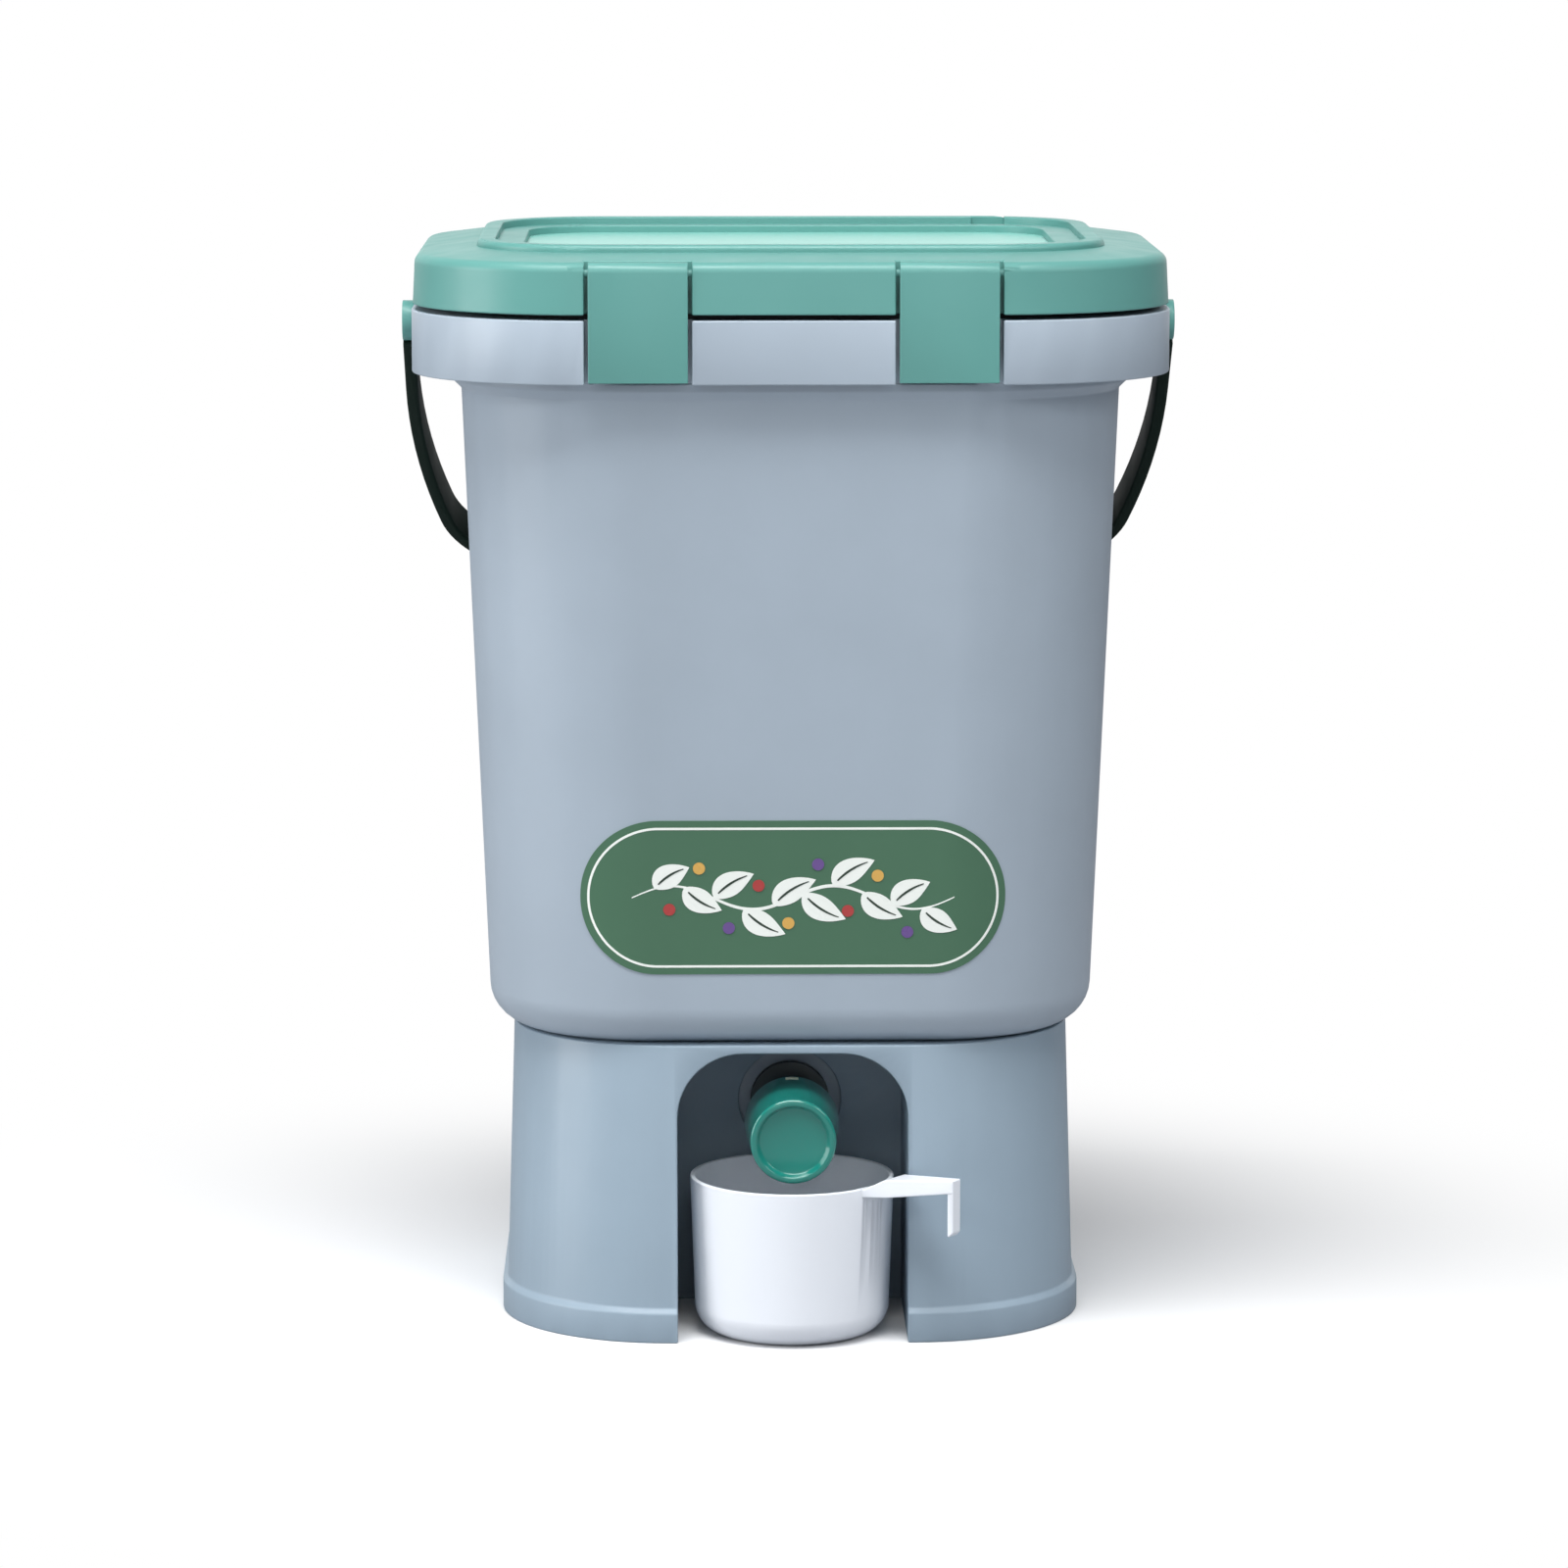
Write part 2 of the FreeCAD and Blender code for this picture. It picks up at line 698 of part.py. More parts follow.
def make_strainer_plate():
    """Perforated plate on the screw bosses, with a grip to lift it by."""
    body = new_body("strainer_plate")
    half_x, half_y, corner = tub_section(boss_top_z, -size.tub_wall - size.strainer_play)
    plate = new_sketch(body, "XY_Plane", boss_top_z)
    rounded_rectangle(plate, half_x, half_y, corner)
    pad(body, plate, size.strainer_thick)
    top_z = boss_top_z + size.strainer_thick

    reach_x = half_x - size.strainer_margin
    reach_y = half_y - size.strainer_margin
    hole = new_sketch(body, "XY_Plane", boss_top_z - past)
    circle(hole, (-reach_x, -reach_y), size.strainer_hole)
    first = cut(body, hole, size.strainer_thick + 2 * past)
    grid = body.newObject("PartDesign::MultiTransform", "strainer_grid")
    grid.Originals = [first]
    rows = []
    for axis, reach in (("H_Axis", reach_x), ("V_Axis", reach_y)):
        row = body.newObject("PartDesign::LinearPattern", f"strainer_row_{axis[0]}")
        row.Direction = (hole, [axis])
        bind(row, "Length", reach * 2)
        row.setExpression("Occurrences", f"floor({(reach * 2 / size.strainer_pitch).formula}) + 1")
        rows.append(row)
    grid.Transformations = rows
    body.Tip = grid

    grip = new_sketch(body, "XZ_Plane", -size.grip_width / 2)
    half = size.grip_length / 2
    bar = size.grip_bar
    arch_top = top_z + size.grip_height
    foot = top_z - size.strainer_thick / 2
    polygon(grip, [(-half, foot), (-half, arch_top), (half, arch_top), (half, foot),
                   (half - bar, foot), (half - bar, arch_top - bar),
                   (bar - half, arch_top - bar), (bar - half, foot)])
    pad(body, grip, size.grip_width)


def make_lid():
    """Skirted lid with a raised, stepped frame, a sealing land and notches for the latches."""
    body = new_body("lid")
    wall = size.lid_wall
    bottom = (size.lid_x, size.lid_y, size.lid_corner)
    profiles = []
    shoulder = edge_stations(lid_top_z, size.lid_edge_round, -1)
    crown = (lid_top_z + size.crown_rise, -size.crown_inset)
    for height, grow in [(lid_bottom_z, size.lid_draft)] + shoulder[::-1] + [crown]:
        sketch = new_sketch(body, "XY_Plane", height)
        rounded_rectangle(sketch, *(half - size.lid_draft + grow for half in bottom))
        profiles.append(sketch)
    loft(body, "Additive", profiles)

    frame = (size.frame_x, size.frame_y, size.frame_corner)
    frame_top_z = lid_top_z + size.frame_rise
    raised = new_sketch(body, "XY_Plane", lid_top_z - size.lid_plate / 2)
    rounded_rectangle(raised, *frame)
    pad(body, raised, size.frame_rise + size.lid_plate / 2)
    round_edges(body, size.frame_edge_round, level_at(frame_top_z))
    ledge = new_sketch(body, "XY_Plane", frame_top_z - size.frame_step)
    rounded_rectangle(ledge, *(half - size.frame_bead for half in frame))
    cut(body, ledge, size.frame_step + past)
    panel = new_sketch(body, "XY_Plane", frame_top_z - 2 * size.frame_step)
    rounded_rectangle(panel, *(half - size.frame_bead - size.frame_ledge for half in frame))
    cut(body, panel, 2 * size.frame_step + past)
    finger = new_sketch(body, "XY_Plane", frame_top_z - size.finger_notch_height)
    half_notch = size.finger_notch_width / 2
    inner_y = size.frame_y - size.frame_bead
    rectangle(finger, size.finger_notch_x - half_notch, size.finger_notch_x + half_notch,
              inner_y - size.frame_bead / 2, inner_y + size.frame_bead / 2)
    cut(body, finger, size.finger_notch_height + past)

    plate_z = lid_top_z - size.lid_plate
    hollow = new_sketch(body, "XY_Plane", lid_bottom_z - past)
    rounded_rectangle(hollow, *(half - wall for half in bottom))
    cut(body, hollow, plate_z - lid_bottom_z + past)
    land_z = lid_bottom_z + size.land_lift
    land = ring_sketch(body, land_z, mouth_offset(size.land_outside), mouth_offset(-size.land_inside))
    pad(body, land, plate_z - land_z + size.lid_plate / 2)
    plug_z = size.rim_top_z - size.plug_depth
    plug = ring_sketch(body, plug_z, mouth_offset(-size.plug_play), mouth_offset(-size.land_inside))
    pad(body, plug, land_z - plug_z + wall / 2)

    blocks = new_sketch(body, "XY_Plane", lid_bottom_z)
    latch_rectangles(blocks, latch_slot + size.latch_cheek, notch_back_y - wall, size.lid_y - wall / 2)
    pad(body, blocks, plate_z - lid_bottom_z + size.lid_plate / 2)
    groove_outer = mouth_offset(size.gasket_inset + size.gasket_width + size.gasket_play)
    groove_inner = mouth_offset(size.gasket_inset - size.gasket_play)
    groove = ring_sketch(body, lid_bottom_z - past, groove_outer, groove_inner)
    cut(body, groove, past + size.land_lift + size.gasket_hold)
    notches = new_sketch(body, "XY_Plane", lid_bottom_z - past)
    latch_rectangles(notches, latch_slot, notch_back_y, size.lid_y + past)
    cut(body, notches, size.lid_height + 2 * past)

    reach = latch_slot + size.latch_cheek + lap
    for side in (1, -1):
        holes = new_sketch(body, "YZ_Plane", size.latch_x * side - reach)
        for end in (1, -1):
            circle(holes, (knuckle_y * end, knuckle_z), size.latch_pin + size.pin_play)
        cut(body, holes, reach * 2)


def make_lid_gasket():
    """Seal ring held in the lid's groove, resting on the rim's top."""
    body = new_body("lid_gasket")
    outer = mouth_offset(size.gasket_inset + size.gasket_width)
    ring = ring_sketch(body, size.rim_top_z, outer, mouth_offset(size.gasket_inset))
    pad(body, ring, size.lid_seam + size.land_lift + size.gasket_hold)


def turn_about_z(thing, half_turn):
    """Places a latch or pin at the front, or turned to the back."""
    thing.Placement.Rotation = FreeCAD.Rotation(FreeCAD.Vector(0, 0, 1), 180 if half_turn else 0)


def make_latch(end, side):
    """Flap latch with its knuckle and hook, modelled at the front."""
    body = new_body(f"latch_{end}_{side}")
    is_back = end == "back"
    middle = size.latch_x * (1 if (side == "right") != is_back else -1)
    outer_y = -(size.rim_y + size.latch_proud)
    inner_y = outer_y + size.latch_thick
    foot_z = rim_bottom_z + size.latch_foot_gap
    hook_z = catch_z - size.hook_play
    hook_y = -(catch_y - size.hook_overlap)
    start = middle - size.latch_width / 2
    plate = new_sketch(body, "YZ_Plane", start)
    polygon(plate, [(outer_y, foot_z), (outer_y, knuckle_z), (inner_y, knuckle_z), (inner_y, hook_z),
                    (hook_y, hook_z), (hook_y, hook_z - size.hook_height),
                    (inner_y, hook_z - size.hook_height - size.hook_slope), (inner_y, foot_z)])
    pad(body, plate, size.latch_width)
    knuckle = new_sketch(body, "YZ_Plane", start)
    circle(knuckle, (-knuckle_y, knuckle_z), size.latch_knuckle)
    pad(body, knuckle, size.latch_width)
    bore = new_sketch(body, "YZ_Plane", start - past)
    circle(bore, (-knuckle_y, knuckle_z), size.latch_pin + size.pin_play)
    cut(body, bore, size.latch_width + 2 * past)
    turn_about_z(body, is_back)


def make_latch_pin(end, side):
    """Hinge pin through the latch's knuckle and the lid's cheeks."""
    name = f"latch_pin_{end}_{side}"
    pin = doc.addObject("Part::Cylinder", name)
    pin.Label = name
    reach = latch_slot + size.latch_cheek
    bind(pin, "Radius", size.latch_pin)
    bind(pin, "Height", reach * 2)
    pin.Placement.Rotation = FreeCAD.Rotation(FreeCAD.Vector(0, 1, 0), 90)
    bind(pin, "Placement.Base.x", size.latch_x * (1 if side == "right" else -1) - reach)
    bind(pin, "Placement.Base.y", knuckle_y * (1 if end == "back" else -1))
    bind(pin, "Placement.Base.z", knuckle_z)
    nodes.append(pin)


def hang_back(body):
    """Turns a piece of the bail about its pivots to where it rests on the tub's back."""
    body.Placement.Rotation = FreeCAD.Rotation(FreeCAD.Vector(1, 0, 0), size.handle_rest_angle.value)
    bind(body, "Placement.Rotation.Angle", size.handle_rest_angle)
    bind(body, "Placement.Base.z", pivot_z)


def make_carry_handle():
    """Bail of flat strap, modelled hanging straight down from the pivot axis."""
    body = new_body("carry_handle")
    middle_x = size.rim_x + size.handle_side_gap + size.handle_thick / 2
    bow = size.handle_bow
    bend = size.handle_bend
    straight = size.handle_straight

    # one half of the strap's centre line: straight, gentle bow, bend, crossbar
    sine = (size.handle_reach - straight - bend).value / (bow - bend).value
    cosine = (1 - sine * sine) ** 0.5
    bow_centre = FreeCAD.Vector((middle_x - bow).value, -straight.value, 0)
    toward = FreeCAD.Vector(cosine, -sine, 0)
    bend_centre = bow_centre + toward * (bow - bend).value
    meeting = bow_centre + toward * bow.value
    top = FreeCAD.Vector(middle_x.value, -size.handle_end_flat.value, 0)
    bow_start = FreeCAD.Vector(middle_x.value, -straight.value, 0)
    bend_end = bend_centre - FreeCAD.Vector(0, bend.value, 0)
    middle = FreeCAD.Vector(0, -size.handle_reach.value, 0)

    def short_way(centre, start, finish):
        radial = (start - centre) + (finish - centre)
        radius = (start - centre).Length
        return Part.Arc(start, centre + radial.normalize() * radius, finish)

    path = new_sketch(body, "XZ_Plane", 0)
    upright = path.addGeometry(Part.LineSegment(top, bow_start), False)
    bow_arc = path.addGeometry(short_way(bow_centre, bow_start, meeting), False)
    bend_arc = path.addGeometry(short_way(bend_centre, meeting, bend_end), False)
    crossbar = path.addGeometry(Part.LineSegment(bend_end, middle), False)
    path.addConstraint(Sketcher.Constraint("Vertical", upright))
    path.addConstraint(Sketcher.Constraint("Horizontal", crossbar))
    path.addConstraint(Sketcher.Constraint("Tangent", upright, 2, bow_arc, 2))
    path.addConstraint(Sketcher.Constraint("Tangent", bow_arc, 1, bend_arc, 2))
    path.addConstraint(Sketcher.Constraint("Tangent", bend_arc, 1, crossbar, 1))
    place_point(path, upright, 1, (middle_x, -size.handle_end_flat))
    datum(path, "DistanceY", (-1, 1, upright, 2), -straight)
    datum(path, "Radius", (bow_arc,), bow)
    datum(path, "Radius", (bend_arc,), bend)
    place_point(path, crossbar, 2, (0, -size.handle_reach))

    section = new_sketch(body, "XY_Plane", -size.handle_end_flat)
    half = size.handle_thick / 2
    rectangle(section, middle_x - half, middle_x + half, -size.handle_width / 2, size.handle_width / 2)
    strap = body.newObject("PartDesign::AdditivePipe", "handle_strap")
    strap.Profile = section
    strap.Spine = (path, [])
    body.Tip = strap
    tongue = new_sketch(body, "XY_Plane", -size.handle_end_flat - lap)
    half = size.tongue_thick / 2
    rectangle(tongue, middle_x - half, middle_x + half, -size.tongue_width / 2, size.tongue_width / 2)
    nib = pad(body, tongue, size.tongue_length + lap)
    doc.recompute()
    other = body.newObject("PartDesign::Mirrored", "handle_other_half")
    other.Originals = [strap, nib]
    other.MirrorPlane = ([part for part in body.Origin.OriginFeatures if part.Role == "YZ_Plane"][0], [""])
    body.Tip = other
    hang_back(body)


def make_handle_end(side):
    """Round bail end with a pivot pin, flat below where the strap meets it."""
    body = new_body(f"handle_end_{side}")
    sign = 1 if side == "right" else -1
    near = size.rim_x + size.handle_side_gap
    far = near + size.handle_thick

    def start(low, high):
        return low if sign == 1 else -high

    disc = new_sketch(body, "YZ_Plane", start(near, far))
    circle(disc, (0, 0), size.handle_end_radius)
    pad(body, disc, size.handle_thick)
    below = new_sketch(body, "YZ_Plane", start(near, far) - past)
    rectangle(below, -2 * size.handle_end_radius, 2 * size.handle_end_radius,
              -2 * size.handle_end_radius, -size.handle_end_flat)
    cut(body, below, size.handle_thick + 2 * past)
    slot = new_sketch(body, "XY_Plane", -size.handle_end_flat - past)
    middle = start(near, far) + size.handle_thick / 2
    half = size.tongue_thick / 2 + size.pin_play
    half_width = size.tongue_width / 2 + size.pin_play
    rectangle(slot, middle - half, middle + half, -half_width, half_width)
    cut(body, slot, past + size.tongue_length + size.pin_play)
    pin = new_sketch(body, "YZ_Plane", start(near - size.handle_pin_length, near + lap))
    circle(pin, (0, 0), size.handle_pin)
    pad(body, pin, size.handle_pin_length + lap)
    hang_back(body)


def on_tap_axis(body):
    """Lifts a piece that is modelled about the Y axis to the tap's height."""
    bind(body, "Placement.Base.z", size.tap_z)


def turned_piece(label, profile):
    """A piece turned about the tap's axis; the profile holds distances in front and radii."""
    body = new_body(label)
    sketch = new_sketch(body, "YZ_Plane", 0)
    polygon(sketch, [(-as_dim(front), radius) for front, radius in profile])
    revolve(body, sketch, "H_Axis")
    on_tap_axis(body)
    return body


def make_tap():
    """Flanged tap housing with spout, turning plug, seal, drum knob, washers and nut."""
    washer_front = size.sump_front + size.outer_washer_thick
    flange_front = washer_front + size.tap_flange_thick
    shank_back = washer_front - size.tap_shank_length
    barrel_bore = size.plug_radius + size.pin_play
    housing = turned_piece("tap_body", [
        (shank_back, size.tap_bore), (shank_back, size.tap_shank), (washer_front, size.tap_shank),
        (washer_front, size.tap_flange), (flange_front, size.tap_flange), (flange_front, size.tap_barrel),
        (size.tap_barrel_front, size.tap_barrel), (size.tap_barrel_front, barrel_bore),
        (size.tap_seat, barrel_bore), (size.tap_seat, size.tap_bore)])
    spout = new_sketch(housing, "XY_Plane", -size.tap_spout_drop)
    circle(spout, (0, -size.tap_spout_y), size.tap_spout)
    pad(housing, spout, size.tap_spout_drop - (size.tap_barrel + barrel_bore) / 2)
    outlet = new_sketch(housing, "XY_Plane", -size.tap_spout_drop - past)
    circle(outlet, (0, -size.tap_spout_y), size.tap_spout_bore)
    cut(housing, outlet, size.tap_spout_drop + past)

    plug_back = size.tap_seat + size.plug_end_gap
    stem_back = size.tap_barrel_front + size.plug_shoulder
    stem_front = stem_back + size.plug_stem_length
    bore_front = size.tap_spout_y + size.plug_port + size.plug_shoulder
    groove_front = size.ring_groove_back + size.ring_groove_width
    groove = size.plug_radius - 2 * size.ring_section
    plug = turned_piece("tap_plug", [
        (plug_back, size.tap_bore), (plug_back, size.plug_radius), (size.ring_groove_back, size.plug_radius),
        (size.ring_groove_back, groove), (groove_front, groove), (groove_front, size.plug_radius),
        (stem_back, size.plug_radius), (stem_back, size.plug_stem), (stem_front, size.plug_stem),
        (stem_front, 0), (bore_front, 0), (bore_front, size.tap_bore)])
    port = new_sketch(plug, "YZ_Plane", 0)
    circle(port, (-size.tap_spout_y, 0), size.plug_port)
    cut(plug, port, size.plug_radius + past)

    ring = doc.addObject("Part::Torus", "tap_o_ring")
    ring.Label = "tap_o_ring"
    bind(ring, "Radius1", groove + size.ring_section + size.pin_play / 2)
    bind(ring, "Radius2", size.ring_section)
    ring.Placement.Rotation = FreeCAD.Rotation(FreeCAD.Vector(1, 0, 0), 90)
    bind(ring, "Placement.Base.y", -(size.ring_groove_back + size.ring_groove_width / 2))
    bind(ring, "Placement.Base.z", size.tap_z)
    nodes.append(ring)

    knob_front = size.knob_back + size.knob_length
    dish_floor = knob_front - size.knob_dish_depth
    inner_front = dish_floor - size.knob_face
    hub_back = inner_front - size.knob_hub_length
    hub_bore = size.plug_stem + size.pin_play
    turned_piece("tap_knob", [
        (size.knob_back, size.knob_back_radius - size.knob_wall), (size.knob_back, size.knob_back_radius),
        (knob_front, size.knob_front_radius), (knob_front, size.knob_dish),
        (dish_floor, size.knob_dish - size.knob_dish_slope), (dish_floor, 0), (stem_front, 0),
        (stem_front, hub_bore), (hub_back, hub_bore), (hub_back, size.knob_hub), (inner_front, size.knob_hub),
        (inner_front, size.knob_front_radius - size.knob_wall)])

    hole = size.tap_shank + size.washer_play
    inner_face = size.sump_front - size.sump_wall
    nut_front = inner_face - size.inner_washer_thick
    turned_piece("tap_outer_washer", [
        (size.sump_front, hole), (size.sump_front, size.outer_washer),
        (washer_front, size.outer_washer), (washer_front, hole)])
    turned_piece("tap_inner_washer", [
        (nut_front, hole), (nut_front, size.inner_washer),
        (inner_face, size.inner_washer), (inner_face, hole)])
    nut = new_body("tap_nut")
    hexagon = new_sketch(nut, "XZ_Plane", nut_front - size.nut_thick)
    across = size.nut_across_flats / 2
    corner_share = 2 / 3 ** 0.5
    corner = across * corner_share
    polygon(hexagon, [(corner, 0), (corner / 2, across), (-corner / 2, across),
                      (-corner, 0), (-corner / 2, -across), (corner / 2, -across)])
    circle(hexagon, (0, 0), size.tap_shank + size.pin_play)
    pad(nut, hexagon, size.nut_thick)
    on_tap_axis(nut)


def make_leachate_cup():
    """Round cup with a handle that rises to a shoulder, tapers and hooks down, at the right front."""
    body = new_body("leachate_cup")
    profile = new_sketch(body, "XZ_Plane", 0)
    slope = (size.cup_rim - size.cup_foot) / size.cup_height
    inner_foot = size.cup_foot + slope * size.cup_floor - size.cup_wall
    polygon(profile, [(0, 0), (size.cup_foot, 0), (size.cup_rim, size.cup_height),
                      (size.cup_rim - size.cup_wall, size.cup_height), (inner_foot, size.cup_floor),
                      (0, size.cup_floor)])
    revolve(body, profile, "V_Axis")
    round_edges(body, size.cup_edge_round, level_at(0))
    round_edges(body, size.cup_edge_round - size.cup_wall, level_at(size.cup_floor))

    root_x = size.cup_rim - size.cup_wall / 2
    shoulder_x = size.shoulder_reach
    end_x = size.strip_reach
    root_top = size.cup_height - size.strip_below_rim
    end_top = root_top + size.strip_rise
    taper = (size.strip_root_width - size.strip_end_width) / (end_x - root_x)
    shoulder_width = size.strip_root_width - taper * (shoulder_x - root_x)
    sections = []
    for place, width, top, thick in (
            (root_x, size.strip_root_width, root_top, size.strip_root_thick),
            (shoulder_x, shoulder_width, root_top + size.shoulder_rise, size.shoulder_thick),
            (end_x, size.strip_end_width, end_top, size.strip_end_thick)):
        sketch = new_sketch(body, "YZ_Plane", place)
        rectangle(sketch, -width / 2, width / 2, top - thick, top)
        sections.append(sketch)
    loft(body, "Additive", sections)
    hook = new_sketch(body, "XZ_Plane", -size.strip_end_width / 2)
    low = end_top - size.hook_drop
    back_x = end_x - size.hook_thick
    sunk = end_top - size.strip_end_thick / 2
    polygon(hook, [(back_x, sunk), (end_x, sunk), (end_x, low + size.hook_chamfer),
                   (end_x - size.hook_chamfer, low), (back_x, low)])
    pad(body, hook, size.strip_end_width)
    body.Placement.Rotation = FreeCAD.Rotation(FreeCAD.Vector(0, 0, 1), -size.cup_turn.value)
    bind(body, "Placement.Rotation.Angle", -size.cup_turn)
    bind(body, "Placement.Base.y", -size.cup_y)


def make_label_sticker():
    """Thin stadium-shaped sticker that follows the tub's front."""
    body = new_body("label_sticker")
    half_height = size.label_height / 2
    half_length = size.label_length / 2
    low = size.label_z - half_height
    high = size.label_z + half_height
    tub_loft(body, "Additive", [(low, size.label_thick), (high, size.label_thick)])
    back = new_sketch(body, "XY_Plane", low - past)
    far = size.tub_top_x + past
    rectangle(back, -far, far, -size.tub_bottom_y / 2, size.tub_top_y + past)
    cut(body, back, size.label_height + 2 * past)
    tub_loft(body, "Subtractive", [(low - past, 0), (high + past, 0)])
    ends = new_sketch(body, "XZ_Plane", size.tub_bottom_y / 2 - past)
    rectangle(ends, -far, far, low - past, high + past)
    end_round = half_height - size.label_end_flat / 2
    rounded_outline(ends, (-half_length, half_length, low, high), [end_round] * 4)
    cut(body, ends, size.tub_top_y)


make_bucket()
make_sump_well()
make_base_stand()
make_base_screws()
make_strainer_plate()
make_lid()
make_lid_gasket()
for end_name in ("front", "back"):
    for side_name in ("left", "right"):
        make_latch(end_name, side_name)
        make_latch_pin(end_name, side_name)
make_carry_handle()
make_handle_end("left")
make_handle_end("right")
make_tap()
make_leachate_cup()
make_label_sticker()
doc.recompute()

# Every object has to be sound before anything is written
failed = [thing.Name for thing in doc.Objects if {"Invalid", "Error"} & set(thing.State)]
if failed:
    raise RuntimeError(f"failed objects: {failed}")
for node in nodes:
    if node.Shape.isNull() or not node.Shape.isValid() or not node.Shape.Solids:
        raise RuntimeError(f"{node.Label} has no valid solid")

os.makedirs("parts", exist_ok=True)
for node in nodes:
    node.Shape.exportStep(f"parts/{node.Label}.step")
    print(node.Label, len(node.Shape.Solids), round(node.Shape.Volume / 1000, 2), "cm3")
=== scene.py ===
import json
import math

import bmesh
import bpy
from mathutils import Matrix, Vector
from mathutils.bvhtree import BVHTree


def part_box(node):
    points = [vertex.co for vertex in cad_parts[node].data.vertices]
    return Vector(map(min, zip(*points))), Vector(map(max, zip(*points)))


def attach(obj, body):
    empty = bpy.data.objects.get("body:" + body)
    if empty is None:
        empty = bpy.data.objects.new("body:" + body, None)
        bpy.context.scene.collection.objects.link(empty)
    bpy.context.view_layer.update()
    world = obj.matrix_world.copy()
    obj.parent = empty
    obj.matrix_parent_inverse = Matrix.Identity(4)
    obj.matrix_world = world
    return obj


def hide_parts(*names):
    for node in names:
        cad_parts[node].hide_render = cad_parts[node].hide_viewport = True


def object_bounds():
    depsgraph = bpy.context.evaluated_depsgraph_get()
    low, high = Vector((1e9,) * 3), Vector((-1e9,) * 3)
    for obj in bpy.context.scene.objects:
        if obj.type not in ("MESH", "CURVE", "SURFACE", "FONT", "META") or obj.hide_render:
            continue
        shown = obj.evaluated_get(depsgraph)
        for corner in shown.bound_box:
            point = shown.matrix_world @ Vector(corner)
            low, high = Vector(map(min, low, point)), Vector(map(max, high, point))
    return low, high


# Bokashi bin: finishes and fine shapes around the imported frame. Units are metres.
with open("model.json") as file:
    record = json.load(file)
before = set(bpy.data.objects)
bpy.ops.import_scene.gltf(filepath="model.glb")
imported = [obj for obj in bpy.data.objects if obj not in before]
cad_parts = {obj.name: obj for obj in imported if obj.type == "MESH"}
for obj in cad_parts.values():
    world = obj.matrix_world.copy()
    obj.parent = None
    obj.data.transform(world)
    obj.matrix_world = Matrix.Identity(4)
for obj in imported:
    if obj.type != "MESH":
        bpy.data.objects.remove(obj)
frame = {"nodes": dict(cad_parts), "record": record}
cad_low, cad_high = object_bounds()
nodes = frame["nodes"]
MM = 0.001


def linear(red, green, blue):
    """A colour written in 0 to 255 display values, as linear light."""
    def channel(value):
        share = value / 255
        return share / 12.92 if share <= 0.04045 else ((share + 0.055) / 1.055) ** 2.4
    return channel(red), channel(green), channel(blue), 1.0


# Colours of the pieces
TUB_GREY = linear(166, 179, 191)
STAND_GREY = linear(147, 165, 179)
LID_MINT = linear(95, 155, 148)
# Paler mint on the lid's panel: a painted sheen of the light falling on the lid's top
PANEL_SHEEN_MINT = linear(132, 199, 188)
HANDLE_DARK = linear(20, 36, 29)
TAP_TEAL = linear(20, 124, 112)
TAP_DARK = linear(36, 52, 56)
CUP_WHITE = linear(240, 244, 250)
STRAINER_GREY = linear(140, 154, 166)
SEAL_BLACK = linear(40, 42, 42)
STEEL = linear(176, 178, 180)
LABEL_GREEN = linear(70, 109, 84)
PRINT_WHITE = linear(240, 244, 238)
PRINT_DARK = linear(46, 62, 50)
SEED_RED = linear(172, 62, 60)
SEED_PLUM = linear(104, 78, 140)
SEED_OCHRE = linear(214, 168, 86)
# Ivory of the tick on the knob's top: a painted highlight for a glint there
GLINT_MARK_IVORY = linear(222, 224, 200)
FLOOR_WHITE = linear(246, 246, 246)
FLOOR_BOUNCE = linear(168, 170, 174)
AMBIENT_BLUE = (0.93, 0.98, 1.06, 1.0)

# The polished panel in the middle of the lid, whose paler colour is a painted sheen
PANEL_HALF_X = 102.0 * MM
PANEL_HALF_Y = 77.5 * MM
PANEL_CORNER = 28.5 * MM
PANEL_SOFT = 0.6 * MM

# Unevenness of the finishes: each noise's scale per metre and detail, the range of its values that is
# used, and how far it moves roughness and surface
CLOUD_NOISE = (14, 4)
GLOSS_NOISE = (60, 3)
GRAIN_NOISE = (1400, 2)
STREAK_NOISE = (900, 2)
NOISE_LOW = 0.3
NOISE_HIGH = 0.7
GLOSS_SPREAD = 0.05
STREAK_SPREAD = 0.08
GRAIN_DEPTH = 0.05 * MM

# Clear coat of the tap's polished plastic
COAT_ROUGHNESS = 0.08


# Materials

def new_material(name):
    """An empty node material with its surface shader."""
    material = bpy.data.materials.new(name)
    material.use_nodes = True
    tree = material.node_tree
    return material, tree, tree.nodes["Principled BSDF"]


def noise(tree, scale, detail, coordinates):
    """A noise texture in object space, with its scale per metre."""
    texture = tree.nodes.new("ShaderNodeTexNoise")
    texture.inputs["Scale"].default_value = scale
    texture.inputs["Detail"].default_value = detail
    tree.links.new(coordinates, texture.inputs["Vector"])
    return texture.outputs["Fac"]


def spread(tree, source, low, high):
    """A factor about one half, stretched between two values."""
    ramp = tree.nodes.new("ShaderNodeMapRange")
    ramp.inputs["From Min"].default_value = NOISE_LOW
    ramp.inputs["From Max"].default_value = NOISE_HIGH
    ramp.inputs["To Min"].default_value = low
    ramp.inputs["To Max"].default_value = high
    tree.links.new(source, ramp.inputs["Value"])
    return ramp.outputs["Result"]


def shaded(color, share):
    """A colour made lighter or darker."""
    return tuple(min(1.0, channel * share) for channel in color[:3]) + (1.0,)


